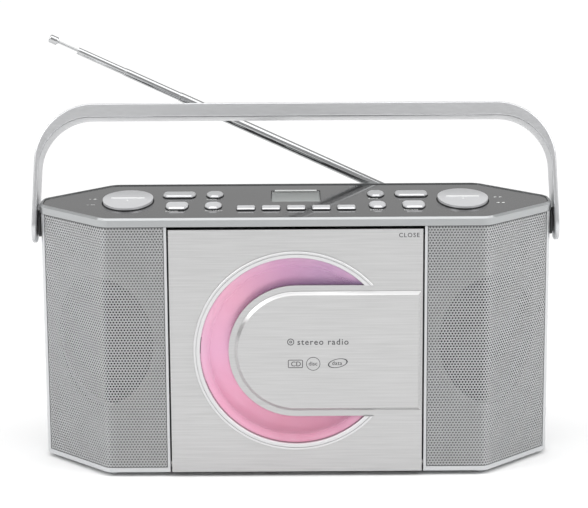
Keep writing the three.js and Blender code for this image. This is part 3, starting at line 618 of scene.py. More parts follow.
def add_piece(name, bm, recipe, body, stands_for=(), outward=True, crease=32,
              level_flats=True):
    """Turns a finished shape into a piece that rides on a body. Leveling the flats keeps the soft
    shading of a rounded edge from spreading over the flat faces next to it."""
    if outward:
        bmesh.ops.recalc_face_normals(bm, faces=bm.faces)
    mesh = bpy.data.meshes.new(name)
    bm.to_mesh(mesh)
    bm.free()
    mesh.shade_smooth()
    mesh.set_sharp_from_angle(angle=radians(crease))
    mesh.materials.append(recipe.material)
    piece = bpy.data.objects.new(name, mesh)
    bpy.context.scene.collection.objects.link(piece)
    if level_flats:
        piece.modifiers.new("level_flats", "WEIGHTED_NORMAL").keep_sharp = True
    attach(piece, body)
    if stands_for:
        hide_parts(*stands_for)
    print("piece", name, "with", len(mesh.polygons), "faces, on", body)
    return piece


def body_of(node):
    return nodes[node]["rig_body"]


def softened_copy(node, recipe, width=0.35 * MM, steps=2):
    """A node as it is, with its outward edges rounded as a mould leaves them."""
    bm = frame_copy(node)
    soften(bm, sharp_edges(bm), width, steps)
    return add_piece(f"{node}_skin", bm, recipe, body_of(node), [node], outward=False)


def middle(node):
    low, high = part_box(node)
    return (low + high) / 2


print("the door's middle is at", [round(value / MM, 1) for value in middle("disc_door")], "mm")

# %% [markdown]
# Printing and small mouldings are all flat: letters, oblongs and frames. Letters come from a text
# curve that is made a mesh before it is put in its place. Ink has a thickness too, a few hundredths
# of a millimetre, so that it never lies in the same plane as what it is printed on.

# %% Letters, oblongs and frames
FACING_FRONT = Matrix.Rotation(pi / 2, 4, "X")
FACING_BACK = Matrix.Rotation(-pi / 2, 4, "X")
PRINT_DEPTH = 0.04 * MM


def lettering(word, height, place, spread=1.0):
    """A printed word. Its lower left corner is the origin of its place."""
    text = bpy.data.curves.new("lettering", "FONT")
    text.body = word
    text.size = height
    text.space_character = spread
    text.extrude = PRINT_DEPTH / 2
    text.offset = height * 0.012
    text.resolution_u = 3
    carrier = bpy.data.objects.new("lettering", text)
    letters = bpy.data.meshes.new_from_object(carrier)
    bm = bmesh.new()
    bm.from_mesh(letters)
    bmesh.ops.transform(bm, matrix=place, verts=bm.verts)
    bpy.data.objects.remove(carrier)
    bpy.data.curves.remove(text)
    bpy.data.meshes.remove(letters)
    return bm


def oblong(x0, x1, z0, z1, y, push, radius=0.0, edge=0.0):
    """An upright rectangle pushed out along Y, with rounded corners if it has a radius."""
    corners = [(x0, y, z0), (x1, y, z0), (x1, y, z1), (x0, y, z1)]
    return slab(corners, (0, push, 0), [(range(4), radius, 4)] if radius else (), edge, 2)


def frame_ring(x0, x1, z0, z1, y, push, width, radius):
    """A rounded rectangular frame that stands on an upright face."""
    bm = bmesh.new()
    bm.faces.new([bm.verts.new(corner) for corner in (
        (x0, y, z0), (x1, y, z0), (x1, y, z1), (x0, y, z1))])
    round_corners(bm, bm.verts[:], radius, 5)
    inset = bmesh.ops.inset_region(
        bm, faces=bm.faces[:], thickness=width, use_even_offset=True, use_boundary=True)
    centre = [face for face in bm.faces if face not in inset["faces"]]
    bmesh.ops.delete(bm, geom=centre, context="FACES")
    pushed = bmesh.ops.extrude_face_region(bm, geom=bm.faces[:])
    bmesh.ops.translate(bm, verts=tagged_verts(pushed), vec=(0, push, 0))
    return bm


def paint(bm, index):
    """Gives every face of a shape one of its piece's materials."""
    for face in bm.faces:
        face.material_index = index
    return bm


print("ink is", PRINT_DEPTH / MM, "mm thick")

# %% [markdown]
# Seen from above the set is a long octagon, and shells, rim and panel all follow it at their own
# insets. So the plan is one function. The upright edges that stand on its corners are bends in the
# real set, and they are found by asking which edges stand there.

# %% The plan of the set
rim_low, rim_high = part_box("top_rim")
CORNER_FACET = 44.8 * MM
BEND_RADIUS = 6 * MM
CABINET_INSET = 1 * MM
GRILLE_RECESS = 0.9 * MM
bend_reach = BEND_RADIUS * tan(pi / 8)
half_width = rim_high.x
flat_half = half_width - CORNER_FACET
front_y = rim_low.y
back_y = rim_high.y
mid_y = (front_y + back_y) / 2


def plan_outline(inset, z=0.0):
    """The set seen from above, drawn in by an inset: a long octagon."""
    slip = inset * tan(pi / 8)
    deep = (back_y - front_y) / 2 - inset
    side = half_width - inset
    flat = flat_half - slip
    facet = (back_y - front_y) / 2 - CORNER_FACET - slip
    right = [(flat, -deep), (side, -facet), (side, facet), (flat, deep)]
    around = right + [(-x, y) for x, y in reversed(right)]
    return [(x, mid_y + y, z) for x, y in around]


def bent_edges(bm, inset):
    """The upright edges that stand on a corner of the plan."""
    corners = [Vector(corner).xy for corner in plan_outline(inset)]
    return [
        edge for edge in sharp_edges(bm, 40, 50)
        if any(
            max((vert.co.xy - corner).length for vert in edge.verts) < 0.3 * MM
            for corner in corners
        )
    ]


print("the set is", round(2 * half_width / MM, 1), "mm wide,", round((back_y - front_y) / MM, 1), "deep")

# %% [markdown]
# The two shells of the cabinet meet halfway back. Their corners are bent, not folded, so the four
# upright edges get a wide round first. Then every outward edge gets the small radius that sprayed
# plastic has, which is what catches the light along an edge. Behind each grille the floor of the
# recess is dark grey and the speaker's opening is black: both are painted shade.

# %% The cabinet's shells
EDGE_RADIUS = 0.35 * MM
SIDE_STRIP = 3 * MM
DEEPEST_WALL = 40 * MM
grille_low, grille_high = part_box("speaker_grille_right")


def behind_grille(face):
    """1 for the floor of a grille's recess, 2 for what lies deeper behind it, 0 for the rest."""
    centre = face.calc_center_median()
    if not (grille_low.x - 0.5 * MM < abs(centre.x) < half_width - SIDE_STRIP
            and grille_low.z + 1 * MM < centre.z < grille_high.z - 1 * MM):
        return 0
    corner = Vector(plan_outline(CABINET_INSET)[0])
    inward = corner - Vector((abs(centre.x), centre.y, corner.z))
    depth = min(-inward.y, inward.dot(Vector((1, -1, 0)).normalized()))
    if abs(depth - GRILLE_RECESS) < 0.15 * MM and face.normal.y < -0.5:
        return 1
    return 2 if GRILLE_RECESS < depth < DEEPEST_WALL else 0


for shell in ("front_cabinet", "rear_cabinet"):
    shape = frame_copy(shell)
    soften(shape, bent_edges(shape, CABINET_INSET), bend_reach, 5)
    soften(shape, sharp_edges(shape), EDGE_RADIUS, 2)
    shape.normal_update()
    for face in shape.faces:
        face.material_index = behind_grille(face)
    skin = add_piece(f"{shell}_skin", shape, cabinet_silver, "cabinet", [shell],
                     outward=False)
    # Slot 1 is the grille's dark grey backing and slot 2 the black of its opening: painted shade.
    skin.data.materials.append(grille_backing_painted_shade.material)
    skin.data.materials.append(opening_painted_shade.material)
    classes = [face.material_index for face in skin.data.polygons]
    print(shell, "has", classes.count(1), "cloth faces and", classes.count(2), "black ones")

# %% [markdown]
# The rim is a silver frame round the control panel. It starts as one flat outline, which is inset to
# make a band and then pushed down. Its outer top edge has a wide chamfer that shines, and its bends
# are as round as the shells'.

# %% The silver rim
RIM_WIDTH = 2.2 * MM
RIM_BEND = 12 * MM
RIM_CHAMFER = 1.2 * MM


def rim_shape():
    bm = bmesh.new()
    bm.faces.new([bm.verts.new(corner) for corner in plan_outline(0, rim_high.z)])
    round_corners(bm, bm.verts[:], RIM_BEND * tan(pi / 8), 8)
    inset = bmesh.ops.inset_region(
        bm, faces=bm.faces[:], thickness=RIM_WIDTH, use_even_offset=True, use_boundary=True,
    )
    centre = [face for face in bm.faces if face not in inset["faces"]]
    bmesh.ops.delete(bm, geom=centre, context="FACES")
    pushed = bmesh.ops.extrude_face_region(bm, geom=bm.faces[:])
    bmesh.ops.translate(bm, verts=tagged_verts(pushed), vec=(0, 0, rim_low.z - rim_high.z))
    bm.normal_update()
    bmesh.ops.recalc_face_normals(bm, faces=bm.faces)
    top = [
        edge for edge in sharp_edges(bm, 60)
        if min(vert.co.z for vert in edge.verts) > rim_high.z - 0.01 * MM
    ]
    outer = [edge for edge in top if any(face.normal.z < 0.5 and (
        face.normal.x * edge.verts[0].co.x + face.normal.y * (edge.verts[0].co.y - mid_y) > 0
    ) for face in edge.link_faces)]
    soften(bm, outer, RIM_CHAMFER, 1)
    low = [
        edge for edge in sharp_edges(bm, 60)
        if max(vert.co.z for vert in edge.verts) < rim_low.z + 0.01 * MM
    ]
    soften(bm, low, 0.4 * MM, 2)
    return bm


add_piece("rim_band", rim_shape(), rim_silver, "cabinet", stands_for=["top_rim"])

# %% [markdown]
# Each grille is one thin steel sheet with several thousand round holes, bent round the corner of the
# set. A hexagon tiles the plane just as the staggered holes do, so one cell is a hexagon bridged to
# a circle. The cell is copied into a row and the row into a sheet, and the sheet is trimmed straight.
# A texture could draw the holes, but real ones let the dark grey behind them, which is painted shade,
# show from every side.

# %% A flat perforated sheet
HOLE_PITCH = 2.0 * MM
HOLE_RADIUS = 0.70 * MM
HOLE_SIDES = 8
SHEET_DEPTH = 0.5 * MM
SHEET_MARGIN = 0.35 * MM


def grille_cell():
    """One hexagonal cell, point up, with a round hole, in the XZ plane and facing -Y."""
    bm = bmesh.new()
    outer = bmesh.ops.create_circle(bm, segments=6, radius=HOLE_PITCH / sqrt(3))["verts"]
    bmesh.ops.rotate(bm, verts=outer, cent=(0, 0, 0), matrix=Matrix.Rotation(pi / 6, 3, "Z"))
    bmesh.ops.create_circle(bm, segments=HOLE_SIDES, radius=HOLE_RADIUS)
    bmesh.ops.bridge_loops(bm, edges=bm.edges[:])
    bmesh.ops.rotate(bm, verts=bm.verts, cent=(0, 0, 0), matrix=Matrix.Rotation(pi / 2, 3, "X"))
    return bm


def repeat(bm, count, step):
    """Doubles the copies until there are at least count."""
    made = 1
    while made < count:
        copies = bmesh.ops.duplicate(bm, geom=bm.verts[:] + bm.edges[:] + bm.faces[:])
        bmesh.ops.translate(bm, verts=tagged_verts(copies), vec=Vector(step) * made)
        made *= 2


def perforated_sheet(width, height):
    """A flat sheet from (0, 0, 0) to (width, 0, height)."""
    row_height = HOLE_PITCH * sqrt(3) / 2
    bm = grille_cell()
    copies = bmesh.ops.duplicate(bm, geom=bm.verts[:] + bm.edges[:] + bm.faces[:])
    bmesh.ops.translate(bm, verts=tagged_verts(copies), vec=(HOLE_PITCH / 2, 0, row_height))
    repeat(bm, width / HOLE_PITCH + 1, (HOLE_PITCH, 0, 0))
    trim(bm, (width, 0, 0), (1, 0, 0))
    repeat(bm, height / (2 * row_height) + 1, (0, 0, 2 * row_height))
    trim(bm, (0, 0, height), (0, 0, 1))
    trim(bm, (0, 0, 0), (-1, 0, 0))
    trim(bm, (0, 0, 0), (0, 0, -1))
    bmesh.ops.remove_doubles(bm, verts=bm.verts, dist=0.01 * MM)
    return bm


def trim(bm, place, outside):
    bmesh.ops.bisect_plane(
        bm, geom=bm.verts[:] + bm.edges[:] + bm.faces[:], plane_co=place, plane_no=outside,
        clear_outer=True, dist=EXACT,
    )


cell_area = HOLE_PITCH ** 2 * sqrt(3) / 2
print("open share of the sheet", round(pi * HOLE_RADIUS ** 2 / cell_area, 2))

# %% [markdown]
# The flat sheet gets the walls of its holes and is then moved round the bend point by point, as a
# press would fold it. The left sheet is the mirror of the right one, and mirroring turns a sheet
# inside out, so its normals are worked out again.

# %% The bent grilles
def add_hole_walls(bm):
    rims = [edge for edge in bm.edges if edge.is_boundary]
    walls = bmesh.ops.extrude_edge_only(bm, edges=rims)
    bmesh.ops.translate(bm, verts=tagged_verts(walls), vec=(0, SHEET_DEPTH, 0))


def bend_sheet(bm, start_x, bend_x, face_y, low_z):
    """Carries the flat sheet to its place and round the corner."""
    turn = pi / 4
    arc_start = bend_x - start_x - bend_reach
    arc_length = BEND_RADIUS * turn
    for vert in bm.verts:
        along, depth, up = vert.co
        past = min(max(along - arc_start, 0), arc_length)
        angle = past / BEND_RADIUS
        straight = max(along - arc_start - arc_length, 0)
        radius = BEND_RADIUS - depth
        x = start_x + min(along, arc_start) + radius * sin(angle) + straight * cos(angle)
        y = face_y + BEND_RADIUS - radius * cos(angle) + straight * sin(angle)
        vert.co = (x, y, low_z + up)


for hand, side in (("left", -1), ("right", 1)):
    low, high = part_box(f"speaker_grille_{hand}")
    start_x = min(abs(low.x), abs(high.x)) + SHEET_MARGIN
    end_x = max(abs(low.x), abs(high.x)) - SHEET_MARGIN
    bend_x = flat_half - (low.y - front_y) * tan(pi / 8)
    saved = 2 * bend_reach - BEND_RADIUS * pi / 4
    length = bend_x - start_x + (end_x - bend_x) * sqrt(2) - saved
    sheet = perforated_sheet(length, high.z - low.z - 2 * SHEET_MARGIN)
    add_hole_walls(sheet)
    bend_sheet(sheet, start_x, bend_x, low.y, low.z + SHEET_MARGIN)
    if side < 0:
        bmesh.ops.mirror(sheet, geom=sheet.verts[:] + sheet.edges[:] + sheet.faces[:], axis="X")
        spare = [vert for vert in sheet.verts if vert.co.x > 0]
        bmesh.ops.delete(sheet, geom=spare, context="VERTS")
        bmesh.ops.recalc_face_normals(sheet, faces=sheet.faces)
    sheet.normal_update()
    if sum(face.normal.y * face.calc_area() for face in sheet.faces) > 0:
        bmesh.ops.reverse_faces(sheet, faces=sheet.faces)
    piece = add_piece(
        f"grille_sheet_{hand}", sheet, grille_metal, "cabinet",
        [f"speaker_grille_{hand}"], outward=False, level_flats=False,
    )
    print(piece.name, sum(len(face.vertices) - 2 for face in piece.data.polygons), "triangles")

# %% [markdown]
# The panel is one flat sheet of black plastic with a hole for every key. Its own corners follow the
# bends of the rim round it. The edges of the holes are only just broken, as a polished tool leaves
# them.

# %% Control panel and display window
PANEL_INSET = 2.5 * MM
BROKEN_EDGE = 0.15 * MM
panel = frame_copy("control_panel")
soften(panel, bent_edges(panel, PANEL_INSET), (RIM_BEND - RIM_WIDTH) * tan(pi / 8), 8)
soften(panel, sharp_edges(panel, 60), BROKEN_EDGE, 2)
add_piece("panel_face", panel, panel_gloss, "cabinet", stands_for=["control_panel"], outward=False)
softened_copy("display_lens", display_clear, 0.3 * MM, 3)
softened_copy("display_module", display_body, 0.3 * MM)
deck_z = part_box("control_panel")[1].z

# %% [markdown]
# Every key is a cap with cut corners on top of a wider lip, which stops it from falling out of its
# hole. The cap's upper edge has a generous round, because that is where a finger meets it and where
# the light draws a line along its front.

# %% Keys
KEY_LIP = 1.2 * MM
KEY_CHAMFER = 0.9 * MM
KEY_CORNER = 0.8 * MM
# How high above the panel the painted shadow of the gap reaches on each key.
GAP_SHADOW_HEIGHT = 0.6 * MM
# How far each kind's corners are cut: across, at the front and at the back.
KEY_KINDS = {
    "wide_button_back": (2.0 * MM, 4.0 * MM, 2.5 * MM),
    "wide_button_front": (2.0 * MM, 6.0 * MM, 3.0 * MM),
    "small_button_back": (2.8 * MM, 6.0 * MM, 4.0 * MM),
    "small_button_front": (2.8 * MM, 6.0 * MM, 4.0 * MM),
    "bar_button": (0.6 * MM, 0.6 * MM, 0.6 * MM),
}


def key_outline(low, high, cuts, grow, z):
    """An oblong whose corners are cut: by one amount across, and others in front and behind."""
    across, front, back = cuts
    x0, x1 = low.x + KEY_LIP - grow, high.x - KEY_LIP + grow
    y0, y1 = low.y + KEY_LIP - grow, high.y - KEY_LIP + grow
    return [
        (x0 + across, y0, z), (x1 - across, y0, z), (x1, y0 + front, z), (x1, y1 - back, z),
        (x1 - across, y1, z), (x0 + across, y1, z), (x0, y1 - back, z), (x0, y0 + front, z),
    ]


def painted_gap_shadow(bm):
    """Paints the lowest part of a key black, a painted shadow of the gap round it in its hole."""
    level = deck_z + GAP_SHADOW_HEIGHT
    geom = bm.verts[:] + bm.edges[:] + bm.faces[:]
    bmesh.ops.bisect_plane(bm, geom=geom, plane_co=(0, 0, level), plane_no=(0, 0, 1))
    for face in bm.faces:
        face.material_index = int(face.calc_center_median().z < level)
    return bm


def add_key(name, bm, node):
    piece = add_piece(name, bm, key_silver, body_of(node), stands_for=[node], outward=False)
    # Slot 1 is the black of the painted gap shadow; slot 2 is the white of the rocker's rib and pip.
    piece.data.materials.append(mechanism_black.material)
    piece.data.materials.append(print_white.material)
    return piece


def key_shape(node, cuts):
    low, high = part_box(node)
    corners = range(8)
    reach = min(KEY_CORNER, min(cuts) * 0.35)
    tall = Vector((0, 0, high.z - low.z))
    cap = slab(key_outline(low, high, cuts, 0, low.z), tall, [(corners, reach, 3)], KEY_CHAMFER, 1)
    lip = slab(key_outline(low, high, cuts, KEY_LIP, low.z), (0, 0, KEY_LIP))
    return painted_gap_shadow(joined([cap, lip]))


for node in sorted(nodes):
    kind = next((kind for kind in KEY_KINDS if node.startswith(kind)), None)
    if kind:
        add_key(f"{node}_cap", key_shape(node, KEY_KINDS[kind]), node)

# %% [markdown]
# The two large ovals rock backwards and forwards about a ridge across their middle. An oval column
# is cut by two sloping planes that meet at the ridge, its rim is rounded, and a fine rib and a
# small pip for the fingertip are set on it.

# %% Rockers
ROCKER_FALL = 0.7 * MM
ROCKER_ROUND = 0.7 * MM
RIB_HEIGHT = 0.5 * MM
RIB_HALF_WIDTH = 0.45 * MM
RIB_ROOT = 0.3 * MM
PIP_SETBACK = 6 * MM


def cut_away(bm, place, outside):
    """Cuts off what lies outside a plane and closes the cut."""
    geom = bm.verts[:] + bm.edges[:] + bm.faces[:]
    bmesh.ops.bisect_plane(bm, geom=geom, plane_co=place, plane_no=outside, clear_outer=True)
    bmesh.ops.holes_fill(bm, edges=[edge for edge in bm.edges if edge.is_boundary])


def rocker_shape(node):
    low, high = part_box(node)
    centre = (low + high) / 2
    half = (high - low) / 2
    ridge = Vector((centre.x, centre.y, high.z - RIB_HEIGHT))
    bm = bmesh.new()
    bmesh.ops.create_circle(bm, cap_ends=True, segments=72, radius=1)
    bmesh.ops.scale(bm, verts=bm.verts, vec=(half.x, half.y, 1))
    bmesh.ops.translate(bm, verts=bm.verts, vec=(centre.x, centre.y, low.z))
    pushed = bmesh.ops.extrude_face_region(bm, geom=bm.faces[:])
    bmesh.ops.translate(bm, verts=tagged_verts(pushed), vec=(0, 0, high.z - low.z))
    for way in (-1, 1):
        cut_away(bm, ridge, Vector((0, way * ROCKER_FALL, half.y)).normalized())
    bmesh.ops.recalc_face_normals(bm, faces=bm.faces)
    rim = [edge for edge in sharp_edges(bm, 60) if min(v.co.z for v in edge.verts) > deck_z]
    soften(bm, rim, ROCKER_ROUND, 4)
    painted_gap_shadow(bm)
    rib_x, rib_y = half.x * 0.66, RIB_HALF_WIDTH
    rib = slab(
        [(ridge.x + x, ridge.y + y, ridge.z - RIB_ROOT)
         for x, y in ((-rib_x, -rib_y), (rib_x, -rib_y), (rib_x, rib_y), (-rib_x, rib_y))],
        (0, 0, RIB_HEIGHT + RIB_ROOT), [(range(4), 0.3 * MM, 3)], 0.15 * MM, 2,
    )
    pip = turned([(0, 0.4 * MM), (0.35 * MM, 0.3 * MM), (0.6 * MM, 0), (0.6 * MM, -0.5 * MM)],
                 Matrix.Translation((ridge.x, ridge.y - PIP_SETBACK, ridge.z - 0.15 * MM)), 20)
    # The rib and the pip are painted white; on the rib this is a painted highlight along the ridge.
    for fine_part in (rib, pip):
        bmesh.ops.recalc_face_normals(fine_part, faces=fine_part.faces)
        paint(fine_part, 2)
    return joined([bm, rib, pip])


for node in ("volume_rocker", "tuning_rocker"):
    add_key(f"{node}_cap", rocker_shape(node), node)

# %% [markdown]
# White signs are screen printed next to the rockers. They are plain ones that any set might have: a
# plus and a minus for loudness, and arrows for tuning. Their outlines are in millimetres.

# %% Printed signs
def printed(outline, x, y, size=1.0):
    corners = [(x + px * size * MM, y + py * size * MM, deck_z) for px, py in outline]
    return slab(corners, (0, 0, PRINT_DEPTH))


BAR = [(-0.9, -0.18), (0.9, -0.18), (0.9, 0.18), (-0.9, 0.18)]
PLUS = [(-0.9, -0.18), (-0.18, -0.18), (-0.18, -0.9), (0.18, -0.9), (0.18, -0.18), (0.9, -0.18),
        (0.9, 0.18), (0.18, 0.18), (0.18, 0.9), (-0.18, 0.9), (-0.18, 0.18), (-0.9, 0.18)]
ARROW = [(-0.7, -0.8), (0.7, 0), (-0.7, 0.8)]
BACK_ARROW = [(0.7, -0.8), (0.7, 0.8), (-0.7, 0)]
SIGN_SETOFF = 6 * MM
SIGN_ROW = 9 * MM
SIGN_PAIR = 3.4 * MM

marks = []
for node, side in (("volume_rocker", -1), ("tuning_rocker", 1)):
    low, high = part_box(node)
    outer = (low.x if side < 0 else high.x) + side * SIGN_SETOFF
    centre_y = (low.y + high.y) / 2
    signs = (PLUS, BAR) if side < 0 else (ARROW, BACK_ARROW)
    for sign, row in zip(signs, (SIGN_ROW, -SIGN_ROW)):
        marks.append(printed(sign, outer, centre_y + row, 1.5))
        marks.append(printed(sign, outer + side * SIGN_PAIR, centre_y + row, 1.5 if side > 0 else 0.8))
print("printed signs", len(marks))

# %% [markdown]
# Six keys have a word under them, in small capitals, that says what the key does. Along the display's
# far side a white strip is a painted highlight on the edge of its window. The white printing and that
# strip are one piece.

# %% Printed words
LETTER_HEIGHT = 2.2 * MM
HIGHLIGHT_INSET = 2 * MM
HIGHLIGHT_NEAR = -2.4 * MM
HIGHLIGHT_FAR = 0.4 * MM
HIGHLIGHT_RISE = 0.5 * MM
WORDS = {
    "small_button_back_left": "MODE", "small_button_front_left": "PROGRAM",
    "small_button_back_right": "BAND", "small_button_front_right": "REPEAT",
    "wide_button_front_left": "POWER", "wide_button_front_right": "SOURCE",
}
for node, word in WORDS.items():
    low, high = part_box(node)
    place = Matrix.Translation((low.x + 1.5 * MM, low.y - 2.1 * MM, deck_z))
    marks.append(lettering(word, LETTER_HEIGHT, place, 1.15))
display_low, display_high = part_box("display_lens")
highlight_x = (display_low.x + HIGHLIGHT_INSET, display_high.x - HIGHLIGHT_INSET)
highlight_y = (display_high.y + HIGHLIGHT_NEAR, display_high.y + HIGHLIGHT_FAR)
# A painted highlight: a white strip along the display's far edge.
marks.append(slab(
    [(highlight_x[0], highlight_y[0], deck_z), (highlight_x[1], highlight_y[0], deck_z),
     (highlight_x[1], highlight_y[1], deck_z), (highlight_x[0], highlight_y[1], deck_z)], (0, 0, HIGHLIGHT_RISE),
))
add_piece("printed_marks_and_highlight", joined(marks), print_white, "cabinet")

# %% [markdown]
# The disc door is a pressed sheet on a plastic frame, and it swings on two pins at its foot. Its
# edges are broken very slightly. The half-round plate on it is thicker, and its bevel is wide
# enough to show as a bright line on the top and the left.

# %% Disc door, window and front plate
softened_copy("disc_door", door_brushed, 0.4 * MM, 3)
softened_copy("door_window", window_clear, 0.2 * MM, 2)

PLATE_FOOT = 0.5 * MM
PLATE_BEVEL = 2.1 * MM
plate_low, plate_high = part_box("door_plate")
plate_half = (plate_high.z - plate_low.z) / 2
plate_back = plate_high.y
plate_bottom = disc_z - plate_half
plate_top = disc_z + plate_half
plate_shape = slab(
    [
        (plate_low.x, plate_back, plate_bottom), (plate_high.x, plate_back, plate_bottom),
        (plate_high.x, plate_back, plate_top), (plate_low.x, plate_back, plate_top),
    ],
    (0, -PLATE_FOOT, 0), [((0, 3), plate_half, 40)],
)
bmesh.ops.recalc_face_normals(plate_shape, faces=plate_shape.faces)
front_face = [face for face in plate_shape.faces if face.normal.y < -0.9]
plate_depth = plate_high.y - plate_low.y - 2 * PRINT_DEPTH
bmesh.ops.inset_region(
    plate_shape, faces=front_face, thickness=PLATE_BEVEL, depth=plate_depth - PLATE_FOOT,
    use_even_offset=True,
)
add_piece("front_plate", plate_shape, plate_brushed, "door", ["door_plate"], crease=28)

# %% [markdown]
# Plain signs are printed on the plate and on the door in dark grey: the word for what the set is,
# three signs for kinds of disc, and the place to press to close the door. None of them is anybody's
# emblem.

# %% Printing on the door
plate_face = plate_low.y + 2 * PRINT_DEPTH
SIGN_LEFT = -6 * MM


def sign_ring(x, z, half_x, half_z, line, tilt=0.0):
    """A printed ring or oval, seen from the front."""
    ring = turned([(1 - line / half_z, 0), (1, 0), (1, PRINT_DEPTH), (1 - line / half_z, PRINT_DEPTH),
                   (1 - line / half_z, 0)], steps=40)
    bmesh.ops.scale(ring, verts=ring.verts, vec=(half_x, half_z, 1))
    bmesh.ops.rotate(ring, verts=ring.verts, cent=(0, 0, 0), matrix=Matrix.Rotation(tilt, 3, "Z"))
    bmesh.ops.transform(ring, matrix=Matrix.Translation((x, plate_face, z)) @ FACING_FRONT,
                        verts=ring.verts)
    return ring


def at_front(x, y, z):
    return Matrix.Translation((x, y - PRINT_DEPTH / 2, z)) @ FACING_FRONT


word_z = disc_z + 5.0 * MM
badge_z = disc_z - 7.9 * MM
signs = [
    sign_ring(SIGN_LEFT + 2.4 * MM, word_z + 1.9 * MM, 2.3 * MM, 2.3 * MM, 0.55 * MM),
    sign_ring(SIGN_LEFT + 2.4 * MM, word_z + 1.9 * MM, 0.9 * MM, 0.9 * MM, 0.5 * MM),
    lettering("stereo radio", 5.6 * MM, at_front(SIGN_LEFT + 6.6 * MM, plate_face, word_z), 1.18),
    frame_ring(SIGN_LEFT + 0.5 * MM, SIGN_LEFT + 10.3 * MM, badge_z - 2.8 * MM, badge_z + 2.8 * MM,
               plate_face, -PRINT_DEPTH, 0.5 * MM, 0.9 * MM),
    lettering("CD", 4.6 * MM, at_front(SIGN_LEFT + 2.4 * MM, plate_face, badge_z - 1.6 * MM), 1.0),
    sign_ring(SIGN_LEFT + 17 * MM, badge_z, 4.6 * MM, 4.6 * MM, 0.4 * MM),
    lettering("disc", 3.8 * MM, at_front(SIGN_LEFT + 13.9 * MM, plate_face, badge_z - 1.1 * MM), 1.0),
    sign_ring(SIGN_LEFT + 33 * MM, badge_z + 0.3 * MM, 6.6 * MM, 3.0 * MM, 0.4 * MM, radians(12)),
    lettering("data", 3.6 * MM, at_front(SIGN_LEFT + 29.2 * MM, plate_face, badge_z - 0.8 * MM), 1.1),
]
add_piece("plate_signs", joined(signs), print_grey, "door")
door_low, door_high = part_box("disc_door")
close_place = at_front(door_high.x - 20.6 * MM, door_low.y, door_high.z - 5.4 * MM)
close_word = lettering("CLOSE", 4.0 * MM, close_place, 1.2)
add_piece("close_sign", close_word, print_grey, "door")

# %% [markdown]
# The bezel of the window is a convex ring with one fine groove, and it stops level with the plate.
# A profile turned almost all the way round makes it, and a level cut at each end matches the
# straight sides of the opening.

# %% Window bezel
ring_low, ring_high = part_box("window_ring")
RING_WIDTH = 4.4 * MM
ring_outer = -ring_low.x
ring_inner = ring_outer - RING_WIDTH
ring_base = ring_high.y
ring_proud = ring_high.y - ring_low.y


def ring_profile():
    """Across the ring from its inner foot to its outer foot: two flat bands and a fine groove."""
    shares = [
        (0.00, 0.00), (0.00, 0.70), (0.03, 0.90), (0.08, 1.00), (0.55, 1.00), (0.56, 0.45), (0.63, 0.45),
        (0.64, 0.92), (0.90, 0.88), (0.97, 0.74), (1.00, 0.50), (1.00, 0.00), (0.00, 0.00),
    ]
    return [(ring_inner + RING_WIDTH * across, ring_proud * height) for across, height in shares]


def ring_shape():
    tip = atan2(WINDOW_CORE, sqrt(ring_outer ** 2 - WINDOW_CORE ** 2)) - radians(1)
    bm = bmesh.new()
    verts = [bm.verts.new((radius, 0, height)) for radius, height in ring_profile()[:-1]]
    face = bm.faces.new(verts)
    bmesh.ops.rotate(bm, verts=bm.verts, cent=(0, 0, 0), matrix=Matrix.Rotation(tip, 3, "Z"))
    bmesh.ops.spin(
        bm, geom=[face] + face.edges[:] + verts, cent=(0, 0, 0), axis=(0, 0, 1),
        angle=2 * pi - 2 * tip, steps=96,
    )
    place = Matrix.Translation((0, ring_base, disc_z)) @ FACING_FRONT
    bmesh.ops.transform(bm, matrix=place, verts=bm.verts)
    bmesh.ops.remove_doubles(bm, verts=bm.verts, dist=EXACT)
    for way in (-1, 1):
        near = [face for face in bm.faces if all(
            vert.co.x > 0 and (vert.co.z - disc_z) * way > 0 for vert in face.verts)]
        geom = near + list({edge for face in near for edge in face.edges})
        geom += list({vert for face in near for vert in face.verts})
        bmesh.ops.bisect_plane(
            bm, geom=geom, plane_co=(0, 0, disc_z + way * WINDOW_CORE), plane_no=(0, 0, -way),
            clear_outer=True,
        )
    bmesh.ops.holes_fill(bm, edges=[edge for edge in bm.edges if edge.is_boundary])
    return bm


add_piece("window_bezel", ring_shape(), bezel_silver, "door", ["window_ring"])

# %% [markdown]
# The disc and what turns it show through the window and when the door hangs open. The disc has a
# moulded ring round its hub and a soft outer edge. The platform that it sits on has a rubber ring
# and three sprung balls in its nose, which hold the disc.

# %% Disc and turntable
HUB_HOLE = 7.5 * MM
BALL_RADIUS = 1.3 * MM
BALL_CIRCLE = 5.9 * MM
BALL_DEPTH = 1.9 * MM
disc_depth = disc_high.y - disc_low.y
disc_profile = [
    (HUB_HOLE, 0), (HUB_HOLE, disc_depth), (16.6 * MM, disc_depth),
    (17.0 * MM, disc_depth - 0.25 * MM), (18.0 * MM, disc_depth - 0.25 * MM),
    (18.4 * MM, disc_depth), (disc_radius - 0.4 * MM, disc_depth),
    (disc_radius, disc_depth - 0.3 * MM), (disc_radius, 0.3 * MM), (disc_radius - 0.4 * MM, 0),
    (HUB_HOLE, 0),
]
disc_place = Matrix.Translation((0, disc_high.y, disc_z)) @ FACING_FRONT
add_piece("disc", turned(disc_profile, disc_place, 96), disc_foil, body_of("compact_disc"),
          ["compact_disc"])

